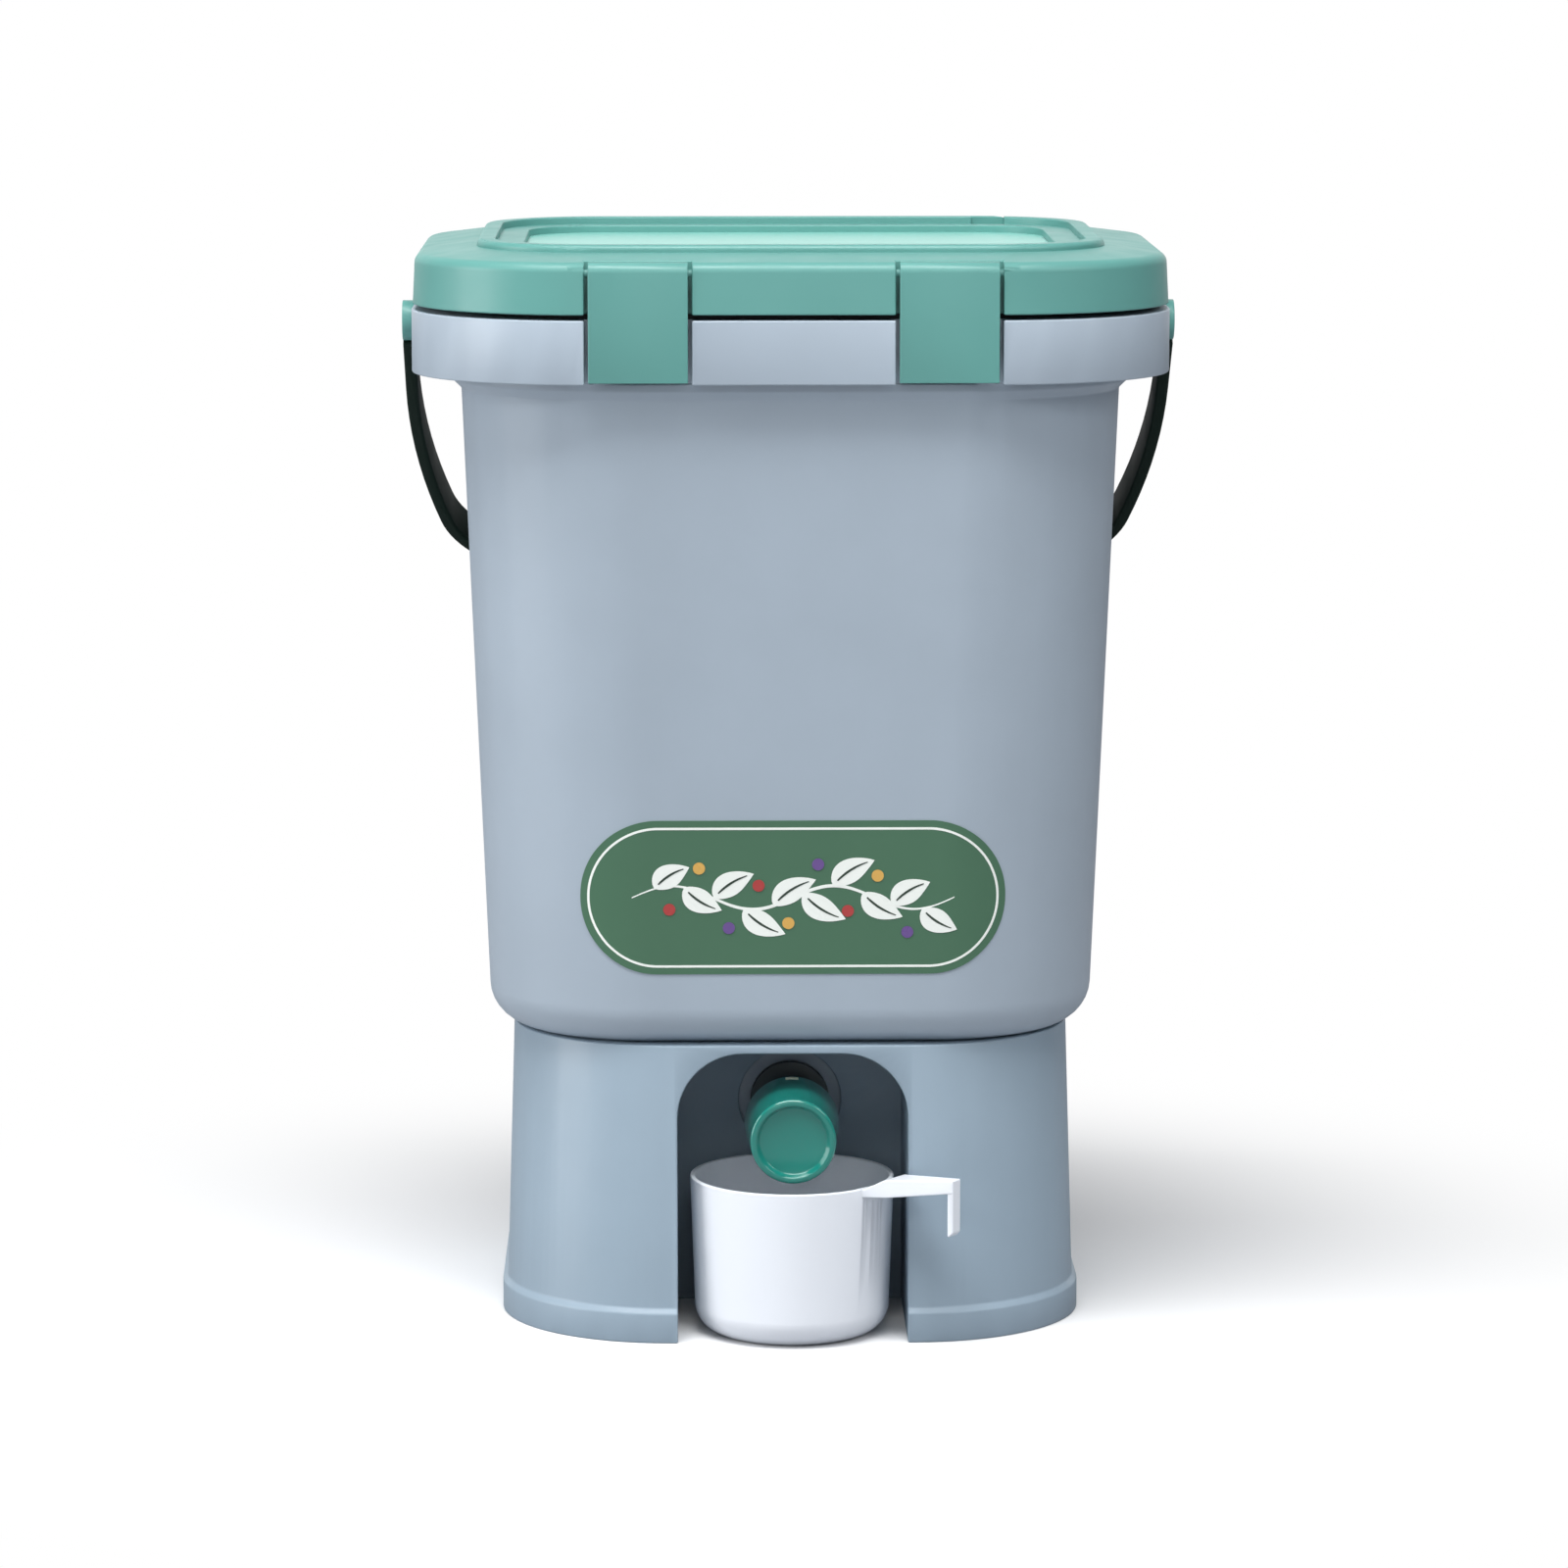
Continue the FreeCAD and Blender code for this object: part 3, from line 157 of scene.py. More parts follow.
def plastic(name, color, roughness, grain, cloud=0.04, coat=0.0, specular=0.5):
    """Moulded plastic: cloudy colour, uneven gloss and a fine grain."""
    material, tree, shader = new_material(name)
    place = tree.nodes.new("ShaderNodeTexCoord").outputs["Object"]
    mix = tree.nodes.new("ShaderNodeMix")
    mix.data_type = "RGBA"
    mix.inputs["A"].default_value = shaded(color, 1 - cloud)
    mix.inputs["B"].default_value = shaded(color, 1 + cloud)
    clouds = noise(tree, *CLOUD_NOISE, place)
    tree.links.new(spread(tree, clouds, 0, 1), mix.inputs["Factor"])
    tree.links.new(mix.outputs["Result"], shader.inputs["Base Color"])
    patches = noise(tree, *GLOSS_NOISE, place)
    gloss = spread(tree, patches, roughness - GLOSS_SPREAD, roughness + GLOSS_SPREAD)
    tree.links.new(gloss, shader.inputs["Roughness"])
    bump = tree.nodes.new("ShaderNodeBump")
    bump.inputs["Strength"].default_value = grain
    bump.inputs["Distance"].default_value = GRAIN_DEPTH
    tree.links.new(noise(tree, *GRAIN_NOISE, place), bump.inputs["Height"])
    tree.links.new(bump.outputs["Normal"], shader.inputs["Normal"])
    shader.inputs["Specular IOR Level"].default_value = specular
    shader.inputs["Coat Weight"].default_value = coat
    shader.inputs["Coat Roughness"].default_value = COAT_ROUGHNESS
    return material


def lid_plastic_painted_sheen(name, color, roughness, grain, panel_sheen_color, panel_roughness):
    """Moulded plastic with a polished panel in the middle of the lid's top, painted paler as a sheen of
    light.
    """
    material = plastic(name, color, roughness, grain)
    tree = material.node_tree
    shader = tree.nodes["Principled BSDF"]
    place = tree.nodes.new("ShaderNodeTexCoord").outputs["Object"]

    def joined(operation, source, value=(0, 0, 0)):
        node = tree.nodes.new("ShaderNodeVectorMath")
        node.operation = operation
        node.inputs[1].default_value = value
        tree.links.new(source, node.inputs[0])
        return node.outputs

    flat = joined("MULTIPLY", place, (1, 1, 0))["Vector"]
    mirrored = joined("ABSOLUTE", flat)["Vector"]
    core = (PANEL_HALF_X - PANEL_CORNER, PANEL_HALF_Y - PANEL_CORNER, 0)
    outside = joined("MAXIMUM", joined("SUBTRACT", mirrored, core)["Vector"])["Vector"]
    polish_and_sheen_mask = tree.nodes.new("ShaderNodeMapRange")
    polish_and_sheen_mask.interpolation_type = "SMOOTHSTEP"
    polish_and_sheen_mask.inputs["From Min"].default_value = PANEL_CORNER
    polish_and_sheen_mask.inputs["From Max"].default_value = PANEL_CORNER - PANEL_SOFT
    tree.links.new(joined("LENGTH", outside)["Value"], polish_and_sheen_mask.inputs["Value"])
    # The mask tints the panel paler as a painted sheen and lowers its roughness as real polish
    sheen_tint = tree.nodes.new("ShaderNodeMix")
    sheen_tint.data_type = "RGBA"
    sheen_tint.inputs["B"].default_value = panel_sheen_color
    gloss = tree.nodes.new("ShaderNodeMix")
    gloss.inputs["B"].default_value = panel_roughness
    for mix, socket in ((sheen_tint, "Base Color"), (gloss, "Roughness")):
        tree.links.new(polish_and_sheen_mask.outputs["Result"], mix.inputs["Factor"])
        tree.links.new(shader.inputs[socket].links[0].from_socket, mix.inputs["A"])
        tree.links.new(mix.outputs["Result"], shader.inputs[socket])
    return material


def metal(name, color, roughness):
    """Bright drawn wire or zinc plate with fine streaks."""
    material, tree, shader = new_material(name)
    place = tree.nodes.new("ShaderNodeTexCoord").outputs["Object"]
    shader.inputs["Base Color"].default_value = color
    shader.inputs["Metallic"].default_value = 1.0
    streaks = noise(tree, *STREAK_NOISE, place)
    gloss = spread(tree, streaks, roughness - STREAK_SPREAD, roughness + STREAK_SPREAD)
    tree.links.new(gloss, shader.inputs["Roughness"])
    return material


# One finish per material slot: roughness, then strength of the grain, and the roughness of the lid's panel
finish = {
    "tub_grey": plastic("tub_plastic", TUB_GREY, 0.42, 0.25),
    "stand_grey": plastic("stand_plastic", STAND_GREY, 0.42, 0.25),
    "lid_mint": lid_plastic_painted_sheen("lid_plastic_painted_sheen", LID_MINT, 0.40, 0.22, PANEL_SHEEN_MINT, 0.26),
    "handle_dark": plastic("handle_plastic", HANDLE_DARK, 0.6, 0.2, specular=0.12),
    "tap_teal": plastic("tap_plastic", TAP_TEAL, 0.16, 0.03, coat=0.8),
    "tap_dark": plastic("tap_housing_plastic", TAP_DARK, 0.4, 0.2),
    "cup_white": plastic("cup_plastic", CUP_WHITE, 0.38, 0.12, cloud=0.012),
    "strainer_grey": plastic("strainer_plastic", STRAINER_GREY, 0.45, 0.25),
    "seal_rubber": plastic("seal_rubber", SEAL_BLACK, 0.65, 0.4),
    "pin_steel": metal("pin_steel", STEEL, 0.3),
    "label_green": plastic("label_film", LABEL_GREEN, 0.38, 0.02, cloud=0.03),
}
print_ink = {}
for name, color in (("white", PRINT_WHITE), ("ribs", PRINT_DARK), ("red", SEED_RED),
                    ("ochre", SEED_OCHRE), ("plum", SEED_PLUM)):
    print_ink[name] = plastic(f"label_ink_{name}", color, 0.32, 0.06, cloud=0.02)


# CAD nodes: welded, edge-softened and finished

WELD_GAP = 0.005 * MM
FLAT_ANGLE = math.radians(0.5)
EDGE_ANGLE = math.radians(30)
EDGE_SEGMENTS = 3


def soften(piece, width):
    """Joins the facets of a CAD mesh and rounds its sharp edges."""
    weld = piece.modifiers.new("weld", "WELD")
    weld.merge_threshold = WELD_GAP
    join = piece.modifiers.new("join_flats", "DECIMATE")
    join.decimate_type = "DISSOLVE"
    join.angle_limit = FLAT_ANGLE
    bevel = piece.modifiers.new("edge_round", "BEVEL")
    bevel.width = width
    bevel.segments = EDGE_SEGMENTS
    bevel.limit_method = "ANGLE"
    bevel.angle_limit = EDGE_ANGLE
    bevel.harden_normals = True
    bevel.use_clamp_overlap = False


# Edge rounding in millimetres; the last table names the nodes that get a rounded copy instead
DEFAULT_EDGE_ROUND = 0.3
EDGE_ROUND = {"bucket": 0.6, "base_stand": 0.6, "carry_handle": 0.9, "label_sticker": 0.0}
COPY_EDGE_ROUND = {"lid": 0.6, "leachate_cup": 0.6}
slot_of = {entry["node"]: entry["material_slot"] for entry in frame["record"]["subparts"]}
body_of = {node: body for body, members in frame["record"]["behaviour"]["bodies"].items() for node in members}
for name, piece in nodes.items():
    piece.data.materials.clear()
    piece.data.materials.append(finish[slot_of[name]])
    for face in piece.data.polygons:
        face.use_smooth = True
    edge = EDGE_ROUND.get(name, DEFAULT_EDGE_ROUND)
    if edge and name not in COPY_EDGE_ROUND:
        soften(piece, edge * MM)


# Pieces that stand for a CAD node

SHARP_ANGLE = math.radians(40)
MERGE_GAP = 0.002 * MM
SLIVER = 0.001 * MM
COPY_MERGE_GAP = 0.004 * MM
# A vertex that the rounding moves off the surface by more than this share of its width counts as
# thrown, and edges within reach of it stay sharp in the next try
THROWN_SHARE = 0.62
SHARP_REACH = 3.5 * MM
ROUNDING_TRIES = 2


def stand_for(piece, node):
    """Lets a piece take a node's place and body."""
    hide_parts(node)
    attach(piece, body_of[node])


def new_piece(name, work, material):
    """A smooth-shaded piece from a mesh in work."""
    mesh = bpy.data.meshes.new(name)
    for face in work.faces:
        face.smooth = True
    work.to_mesh(mesh)
    work.free()
    mesh.set_sharp_from_angle(angle=SHARP_ANGLE)
    mesh.materials.append(material)
    piece = bpy.data.objects.new(name, mesh)
    bpy.context.scene.collection.objects.link(piece)
    even = piece.modifiers.new("even_normals", "WEIGHTED_NORMAL")
    even.keep_sharp = True
    return piece


def rounded_copy(node, width):
    """A copy of a node with rounded outer edges; edges that can't take the rounding stay sharp."""
    base = bmesh.new()
    base.from_mesh(nodes[node].data)
    bmesh.ops.remove_doubles(base, verts=base.verts, dist=WELD_GAP)
    bmesh.ops.dissolve_limit(base, angle_limit=FLAT_ANGLE, verts=base.verts, edges=base.edges)
    surface = BVHTree.FromBMesh(base)
    kept_sharp = []
    for _ in range(ROUNDING_TRIES):
        work = base.copy()
        edges = []
        for edge in work.edges:
            if not edge.is_convex or edge.calc_face_angle() < EDGE_ANGLE:
                continue
            middle = (edge.verts[0].co + edge.verts[1].co) / 2
            if all((middle - spot).length > SHARP_REACH for spot in kept_sharp):
                edges.append(edge)
        bmesh.ops.bevel(work, geom=edges, offset=width, segments=EDGE_SEGMENTS, profile=0.5,
                        affect="EDGES", clamp_overlap=False)
        thrown = [v for v in work.verts if surface.find_nearest(v.co)[3] > THROWN_SHARE * width]
        kept_sharp += [v.co.copy() for v in thrown]
        if not thrown:
            break
    for vertex in thrown:
        vertex.co = surface.find_nearest(vertex.co)[0]
    bmesh.ops.remove_doubles(work, verts=work.verts, dist=COPY_MERGE_GAP)
    bmesh.ops.dissolve_degenerate(work, edges=work.edges, dist=COPY_MERGE_GAP)
    base.free()
    return new_piece(f"{node}_rounded", work, finish[slot_of[node]])


for name, edge in COPY_EDGE_ROUND.items():
    stand_for(rounded_copy(name, edge * MM), name)


# Tap knob: a turned drum with a beaded front edge, a hollow dish and an ivory mark that is a painted
# highlight

KNOB_TAPER = 2.1 * MM
KNOB_WALL = 2.8 * MM
KNOB_FACE = 3.0 * MM
BACK_ROUND = 1.0 * MM
BEAD_ROUND = 1.3 * MM
BEAD_INNER_ROUND = 0.85 * MM
INNER_ROUND = 0.5 * MM
DISH_RADIUS = 14.0 * MM
DISH_SLOPE = 1.2 * MM
DISH_DEPTH = 2.0 * MM
DISH_HOLLOW = 0.9 * MM
DISH_STEPS = 10
HUB_RADIUS = 6.8 * MM
HUB_LENGTH = 19.0 * MM
STEM_RADIUS = 4.05 * MM
MARK_FROM_BACK = 2.2 * MM
MARK_WIDTH = 5.0 * MM
MARK_LENGTH = 2.6 * MM
MARK_RISE = 0.35 * MM
MARK_SINK = 0.1 * MM
MARK_ROUND = 0.15 * MM
MARK_COLUMNS = 8
MARK_ROWS = 3


def rounded_profile(corners, steps=7):
    """The points of a closed outline whose corners, each x, y and radius, are rounded by arcs."""
    points = []
    count = len(corners)
    for index, (x, y, radius) in enumerate(corners):
        corner = Vector((x, y))
        if radius == 0:
            points.append(corner)
            continue
        to_last = (Vector(corners[index - 1][:2]) - corner).normalized()
        to_next = (Vector(corners[(index + 1) % count][:2]) - corner).normalized()
        half_angle = to_last.angle(to_next) / 2
        centre = corner + (to_last + to_next).normalized() * (radius / math.sin(half_angle))
        first = corner + to_last * (radius / math.tan(half_angle)) - centre
        last = corner + to_next * (radius / math.tan(half_angle)) - centre
        points += [centre + first.slerp(last, step / steps) * radius for step in range(steps + 1)]
    return points


def turned(name, outline, place, material, steps=128):
    """A closed outline of radius and height points turned about an axis; place maps it into the frame."""
    work = bmesh.new()
    rings = []
    for step in range(steps):
        angle = 2 * math.pi * step / steps
        turn = (math.cos(angle), math.sin(angle))
        rings.append([work.verts.new(place(r * turn[0], r * turn[1], h)) for r, h in outline])
    for step in range(steps):
        here = rings[step]
        there = rings[(step + 1) % steps]
        for index in range(len(outline)):
            following = (index + 1) % len(outline)
            work.faces.new((here[index], here[following], there[following], there[index]))
    bmesh.ops.remove_doubles(work, verts=work.verts, dist=MERGE_GAP)
    bmesh.ops.dissolve_degenerate(work, edges=work.edges, dist=SLIVER)
    bmesh.ops.recalc_face_normals(work, faces=work.faces)
    return new_piece(name, work, material)


class Knob:
    """The knob's axis and main sizes, read from the CAD nodes."""
    low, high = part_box("tap_knob")
    axis_x = (low.x + high.x) / 2
    axis_z = (low.z + high.z) / 2
    radius = (high.x - low.x) / 2
    length = high.y - low.y
    front_radius = radius - KNOB_TAPER
    stem_reach = high.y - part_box("tap_plug")[0].y


def on_knob_axis(x, z, height):
    """A point about the knob's axis, with its height from the knob's back, in the frame."""
    return Knob.axis_x + x, Knob.high.y - height, Knob.axis_z + z


def add_knob():
    """The hollow drum: wall, beaded front edge, dish, and hub with the stem's bore."""
    dish_floor = Knob.length - DISH_DEPTH
    dish_rim = DISH_RADIUS - DISH_SLOPE
    dish = []
    for step in range(1, DISH_STEPS + 1):
        share = 1 - step / DISH_STEPS
        dish.append((dish_rim * share, dish_floor - DISH_HOLLOW * (1 - share ** 2), 0))
    inner_front = dish_floor - KNOB_FACE
    hub_back = inner_front - HUB_LENGTH
    outline = rounded_profile([
        (Knob.radius - KNOB_WALL, 0, INNER_ROUND), (Knob.radius, 0, BACK_ROUND),
        (Knob.front_radius, Knob.length, BEAD_ROUND), (DISH_RADIUS, Knob.length, BEAD_INNER_ROUND),
        (dish_rim, dish_floor, BEAD_INNER_ROUND), *dish,
        (0, Knob.stem_reach, 0), (STEM_RADIUS, Knob.stem_reach, 0), (STEM_RADIUS, hub_back, 0),
        (HUB_RADIUS, hub_back, INNER_ROUND), (HUB_RADIUS, inner_front, INNER_ROUND),
        (Knob.front_radius - KNOB_WALL, inner_front, INNER_ROUND)])
    stand_for(turned("tap_knob_drum", outline, on_knob_axis, finish["tap_teal"]), "tap_knob")


def add_knob_glint_mark():
    """A raised ivory tick on the knob's top, near its back, painted as a highlight where a glint falls."""
    work = bmesh.new()
    grid = []
    for row in range(MARK_ROWS + 1):
        height = MARK_FROM_BACK + MARK_LENGTH * row / MARK_ROWS
        radius = Knob.radius - KNOB_TAPER * height / Knob.length - MARK_SINK
        line = []
        for column in range(MARK_COLUMNS + 1):
            angle = math.pi / 2 - MARK_WIDTH / Knob.radius * (column / MARK_COLUMNS - 0.5)
            spot = on_knob_axis(radius * math.cos(angle), radius * math.sin(angle), height)
            line.append(work.verts.new(spot))
        grid.append(line)
    for row in range(MARK_ROWS):
        near = grid[row]
        far = grid[row + 1]
        for column in range(MARK_COLUMNS):
            work.faces.new((near[column], far[column], far[column + 1], near[column + 1]))
    # The ivory tick is a painted highlight, shaped as a raised mark
    mark = new_piece("tap_knob_glint_mark", work, plastic("glint_mark_paint", GLINT_MARK_IVORY, 0.4, 0.1, cloud=0.02))
    raised = mark.modifiers.new("raise", "SOLIDIFY")
    raised.thickness = MARK_RISE
    raised.offset = 1
    rounded = mark.modifiers.new("edge_round", "BEVEL")
    rounded.width = MARK_ROUND
    rounded.segments = 2
    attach(mark, "tap_turner")


add_knob()
add_knob_glint_mark()


# Label print: a waving stem with leaves and seeds, inside a thin white line

PRINT_LIFT = 0.02 * MM
PRINT_THICK = 0.06 * MM
LEAF_LAYERS = (1.0, 1.5)
TOP_LAYER = 2.5
BORDER_INSET = 2.6 * MM
BORDER_WIDTH = 0.9 * MM
STEM_REACH = 61 * MM
STEM_SWING = 4.5 * MM
STEM_WAVE = 61 * MM
STEM_WIDTH = 1.3 * MM
STEM_END_SHARE = 0.35
LEAF_COUNT = 10
LEAF_LENGTH = 19 * MM
LEAF_WIDTH = 9.5 * MM
LEAF_LEAN = math.radians(52)
LEAF_CURL = 0.35
LEAF_END_SHARE = 0.82
# Exponents that move a leaf's widest place towards its root and fill out its outline
LEAF_SKEW = 0.8
LEAF_BLUNTNESS = 0.9
FIRST_LEAF = -0.86 * STEM_REACH
LEAF_STEP = 1.66 * STEM_REACH / (LEAF_COUNT - 1)
RIB_WIDTH = 0.9 * MM
RIB_START = 0.14
RIB_END = 0.86
SEED_RADIUS = 2.3 * MM
SEED_GAP = 9 * MM
RAY_START = cad_low.y - 0.1


def front_of(node):
    """A function that finds the point on a node's front surface at an x and a z."""
    mesh = nodes[node].data
    faces = BVHTree.FromPolygons([v.co for v in mesh.vertices], [f.vertices for f in mesh.polygons])

    def point(x, z):
        return faces.ray_cast(Vector((x, RAY_START, z)), Vector((0, 1, 0)))[0]

    return point


label_low, label_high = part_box("label_sticker")
label_middle = (label_low + label_high) / 2
on_label = front_of("label_sticker")


def printed(name, grids, material):
    """A thin print on the label from grids of (x, z) points about its middle, each with its layer."""
    vertices = []
    faces = []
    for grid, layer in grids:
        lift = PRINT_LIFT + PRINT_THICK * layer
        width = len(grid[0])
        start = len(vertices)
        for line in grid:
            for x, z in line:
                spot = on_label(label_middle.x + x, label_middle.z + z)
                vertices.append(spot - Vector((0, lift, 0)))
        for row in range(len(grid) - 1):
            for column in range(width - 1):
                corner = start + row * width + column
                faces.append((corner, corner + 1, corner + width + 1, corner + width))
    mesh = bpy.data.meshes.new(name)
    mesh.from_pydata(vertices, [], faces)
    mesh.materials.append(material)
    piece = bpy.data.objects.new(name, mesh)
    bpy.context.scene.collection.objects.link(piece)
    return face_viewer(piece)


def face_viewer(piece):
    """Turns a printed layer's faces to the front and gives it its thickness."""
    work = bmesh.new()
    work.from_mesh(piece.data)
    bmesh.ops.remove_doubles(work, verts=work.verts, dist=MERGE_GAP)
    for face in work.faces:
        if face.normal.y > 0:
            face.normal_flip()
    work.to_mesh(piece.data)
    work.free()
    layer = piece.modifiers.new("ink", "SOLIDIFY")
    layer.thickness = PRINT_THICK
    layer.offset = 1
    return piece


def stadium_line(inset, width, steps=96):
    """The grid of a closed line that follows the label's outline."""
    half_x = (label_high.x - label_low.x) / 2 - inset
    half_z = (label_high.z - label_low.z) / 2 - inset
    straight = half_x - half_z

    def across(side, step):
        angle = math.pi / 2 + math.pi * step / steps
        reaches = (half_z, half_z - width)
        return [(side + reach * math.cos(angle), reach * math.sin(angle)) for reach in reaches]

    left_end = [across(-straight, step) for step in range(steps + 1)]
    right_end = [across(straight, step) for step in range(steps, 2 * steps)]
    return left_end + right_end + [across(-straight, 2 * steps)]


def stem_point(x):
    """A point of the waving stem."""
    return x, STEM_SWING * math.sin(2 * math.pi * x / STEM_WAVE)


def stem_grid(steps=120):
    """The stem as a band that thins towards both ends."""
    grid = []
    for step in range(steps + 1):
        x = -STEM_REACH + 2 * STEM_REACH * step / steps
        middle_z = stem_point(x)[1]
        fullness = math.sin(math.pi * step / steps)
        half = STEM_WIDTH / 2 * (STEM_END_SHARE + (1 - STEM_END_SHARE) * fullness)
        grid.append([(x, middle_z - half), (x, middle_z + half)])
    return grid


def leaf_frames():
    """Root, side of the stem and length of each leaf."""
    for index in range(LEAF_COUNT):
        root = stem_point(FIRST_LEAF + LEAF_STEP * index)
        side = 1 if index % 2 == 0 else -1
        fullness = math.sin(math.pi * index / (LEAF_COUNT - 1))
        length = LEAF_LENGTH * (LEAF_END_SHARE + (1 - LEAF_END_SHARE) * fullness)
        yield root, side, length


def leaf_grid(root, side, length, width, start=0.0, end=1.0, steps=18, columns=4):
    """A pointed leaf that curls a little back towards the stem."""
    grid = []
    for step in range(steps + 1):
        t = start + (end - start) * step / steps
        lean = side * (LEAF_LEAN - LEAF_CURL * t)
        middle_x = root[0] + length * t * math.cos(lean)
        middle_z = root[1] + length * t * math.sin(lean)
        half = 0.0
        if 0 < t < 1:
            half = width / 2 * math.sin(math.pi * t ** LEAF_SKEW) ** LEAF_BLUNTNESS
        line = []
        for column in range(columns + 1):
            across = half * (2 * column / columns - 1)
            line.append((middle_x - across * math.sin(lean), middle_z + across * math.cos(lean)))
        grid.append(line)
    return grid


def rib_grid(root, side, length):
    """The dark middle rib of a leaf."""
    return leaf_grid(root, side, length, RIB_WIDTH, RIB_START, RIB_END, steps=14, columns=1)


def seed_grid(x, z, radius, rings=3, steps=28):
    """A round dot as rings about its middle."""
    grid = []
    for ring in range(rings + 1):
        reach = radius * ring / rings
        line = []
        for step in range(steps + 1):
            angle = 2 * math.pi * step / steps
            line.append((x + reach * math.cos(angle), z + reach * math.sin(angle)))
        grid.append(line)
    return grid


def add_label_print():
    """The line, stem, leaves, ribs and seeds on the label."""
    leaves = list(leaf_frames())
    white = [(stadium_line(BORDER_INSET, BORDER_WIDTH), 0), (stem_grid(), 0)]
    for index, leaf in enumerate(leaves):
        white.append((leaf_grid(*leaf, LEAF_WIDTH), LEAF_LAYERS[index % 2]))
    prints = {"white": white, "ribs": [(rib_grid(*leaf), TOP_LAYER) for leaf in leaves]}
    colours = ("red", "ochre", "plum")
    for index, (root, side, _) in enumerate(leaves[:-1]):
        seed_x = root[0] + LEAF_STEP / 2
        seed = seed_grid(seed_x, stem_point(seed_x)[1] - side * SEED_GAP, SEED_RADIUS)
        prints.setdefault(colours[index % len(colours)], []).append((seed, TOP_LAYER))
    for name, grids in prints.items():
        piece = printed(f"label_print_{name}", grids, print_ink[name])
        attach(piece, "bin")


add_label_print()


# Stage: floor, light and camera

FLOOR_REACH = 6.0
FLOOR_ROUGHNESS = 0.9
FLOOR_SPECULAR = 0.1
# Distances from the middle between which the floor fades to white
FADE_START = 0.15
FADE_END = 0.46
AMBIENT = 0.20
# Y of a reflected ray's direction from which the world turns white, and where it is fully white
BEHIND_START = 0.6
BEHIND_FULL = 0.9
LIGHT_TARGET = Vector((0, 0, 0.2))
# Each lamp's name, place, width, height and watts
LAMPS = (
    ("key", (-0.25, -0.90, 2.35), 2.0, 0.8, 62),
    ("front", (-0.25, -2.00, 1.36), 2.4, 0.25, 8),
    ("side", (-2.3, -0.5, 0.70), 1.2, 1.4, 27),
    ("right", (1.7, -1.3, 1.5), 0.8, 0.8, 10),
    ("fill", (-0.1, -2.9, 0.60), 0.8, 0.5, 3),
)
CAMERA_PLACE = (-0.041, -2.369, 0.560)
CAMERA_PITCH = math.radians(8.63)
CAMERA_YAW = math.radians(0.95)
CAMERA_LENS = 139.5
SENSOR_WIDTH = 36.0


def add_stage():
    """A wide pale floor that fades into the white surround."""
    mesh = bpy.data.meshes.new("floor")
    corners = [(x * FLOOR_REACH, y * FLOOR_REACH, 0) for x, y in ((-1, -1), (1, -1), (1, 1), (-1, 1))]
    mesh.from_pydata(corners, [], [(0, 1, 2, 3)])
    floor = bpy.data.objects.new("floor", mesh)
    bpy.context.scene.collection.objects.link(floor)
    mesh.materials.append(floor_paper())


def floor_paper():
    """Matt paper near the object, which turns into the white surround further out."""
    material, tree, shader = new_material("floor_paper")
    shader.inputs["Roughness"].default_value = FLOOR_ROUGHNESS
    shader.inputs["Specular IOR Level"].default_value = FLOOR_SPECULAR
    place = tree.nodes.new("ShaderNodeTexCoord").outputs["Object"]
    distance = tree.nodes.new("ShaderNodeVectorMath")
    distance.operation = "LENGTH"
    tree.links.new(place, distance.inputs[0])
    fade = tree.nodes.new("ShaderNodeMapRange")
    fade.interpolation_type = "SMOOTHSTEP"
    fade.inputs["From Min"].default_value = FADE_START
    fade.inputs["From Max"].default_value = FADE_END
    tree.links.new(distance.outputs["Value"], fade.inputs["Value"])
    seen = tree.nodes.new("ShaderNodeMath")
    seen.operation = "MULTIPLY"
    path = tree.nodes.new("ShaderNodeLightPath")
    tree.links.new(path.outputs["Is Camera Ray"], seen.inputs[0])
    tree.links.new(fade.outputs["Result"], seen.inputs[1])
    paper = tree.nodes.new("ShaderNodeMix")
    paper.data_type = "RGBA"
    paper.inputs["A"].default_value = FLOOR_BOUNCE
    paper.inputs["B"].default_value = FLOOR_WHITE
    tree.links.new(path.outputs["Is Camera Ray"], paper.inputs["Factor"])
    tree.links.new(paper.outputs["Result"], shader.inputs["Base Color"])
    white = tree.nodes.new("ShaderNodeEmission")
    blend = tree.nodes.new("ShaderNodeMixShader")
    tree.links.new(seen.outputs["Value"], blend.inputs["Fac"])
    tree.links.new(shader.outputs["BSDF"], blend.inputs[1])
    tree.links.new(white.outputs["Emission"], blend.inputs[2])
    output = tree.nodes["Material Output"]
    tree.links.new(blend.outputs["Shader"], output.inputs["Surface"])
    return material


def add_area(name, place, width, height, watts):
    """A soft box aimed at the object's middle."""
    lamp = bpy.data.lights.new(name, "AREA")
    lamp.shape = "RECTANGLE"
    lamp.size = width
    lamp.size_y = height
    lamp.energy = watts
    holder = bpy.data.objects.new(name, lamp)
    holder.location = place
    holder.rotation_euler = (LIGHT_TARGET - Vector(place)).to_track_quat("-Z", "Y").to_euler()
    bpy.context.scene.collection.objects.link(holder)


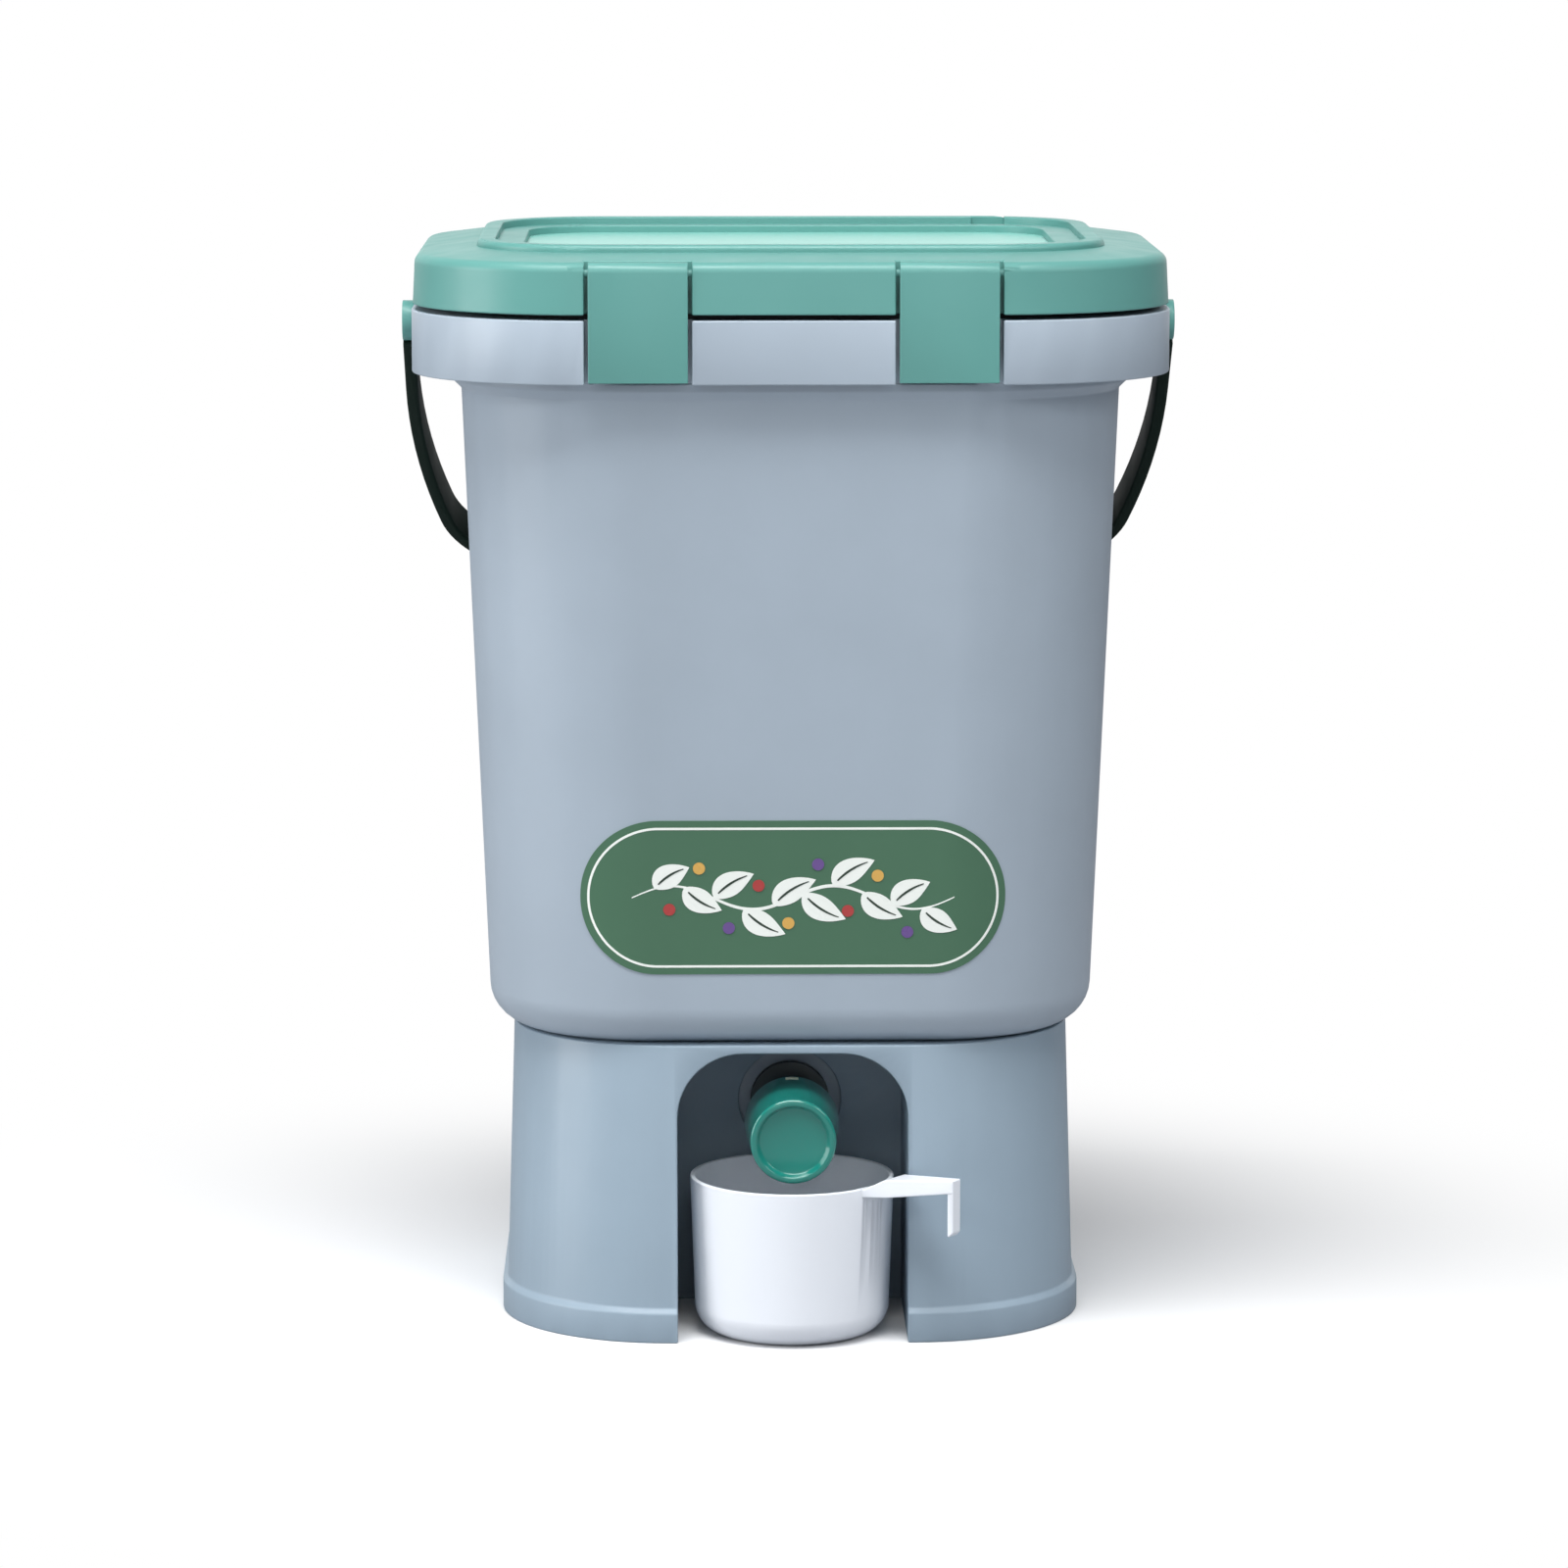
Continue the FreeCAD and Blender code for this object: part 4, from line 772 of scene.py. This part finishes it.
def add_world():
    """White to the camera and in reflections from behind, a dim bluish ambient light otherwise."""
    world = bpy.data.worlds.new("surround")
    bpy.context.scene.world = world
    world.use_nodes = True
    tree = world.node_tree
    path = tree.nodes.new("ShaderNodeLightPath")
    direction = tree.nodes.new("ShaderNodeSeparateXYZ")
    tree.links.new(tree.nodes.new("ShaderNodeTexCoord").outputs["Generated"], direction.inputs["Vector"])
    behind = tree.nodes.new("ShaderNodeMapRange")
    behind.interpolation_type = "SMOOTHSTEP"
    behind.inputs["From Min"].default_value = BEHIND_START
    behind.inputs["From Max"].default_value = BEHIND_FULL
    tree.links.new(direction.outputs["Y"], behind.inputs["Value"])

    def joined(operation, first, second):
        node = tree.nodes.new("ShaderNodeMath")
        node.operation = operation
        tree.links.new(first, node.inputs[0])
        tree.links.new(second, node.inputs[1])
        return node.outputs["Value"]

    mirrored = joined("MULTIPLY", path.outputs["Is Glossy Ray"], behind.outputs["Result"])
    seen = joined("MAXIMUM", path.outputs["Is Camera Ray"], path.outputs["Is Transmission Ray"])
    seen = joined("MAXIMUM", seen, mirrored)
    ambient = tree.nodes["Background"]
    ambient.inputs["Color"].default_value = AMBIENT_BLUE
    ambient.inputs["Strength"].default_value = AMBIENT
    white = tree.nodes.new("ShaderNodeBackground")
    white.inputs["Color"].default_value = (1, 1, 1, 1)
    blend = tree.nodes.new("ShaderNodeMixShader")
    tree.links.new(seen, blend.inputs["Fac"])
    tree.links.new(ambient.outputs["Background"], blend.inputs[1])
    tree.links.new(white.outputs["Background"], blend.inputs[2])
    tree.links.new(blend.outputs["Shader"], tree.nodes["World Output"].inputs["Surface"])


def add_camera():
    """The camera at the photograph's place, a little left of the middle and above the lid."""
    camera = bpy.data.cameras.new("camera")
    camera.sensor_width = SENSOR_WIDTH
    camera.lens = CAMERA_LENS
    holder = bpy.data.objects.new("camera", camera)
    holder.location = CAMERA_PLACE
    holder.rotation_euler = (math.pi / 2 - CAMERA_PITCH, 0, -CAMERA_YAW)
    bpy.context.scene.collection.objects.link(holder)
    bpy.context.scene.camera = holder


add_stage()
add_world()
for lamp in LAMPS:
    add_area(*lamp)
add_camera()
bpy.context.scene.view_settings.view_transform = "Standard"
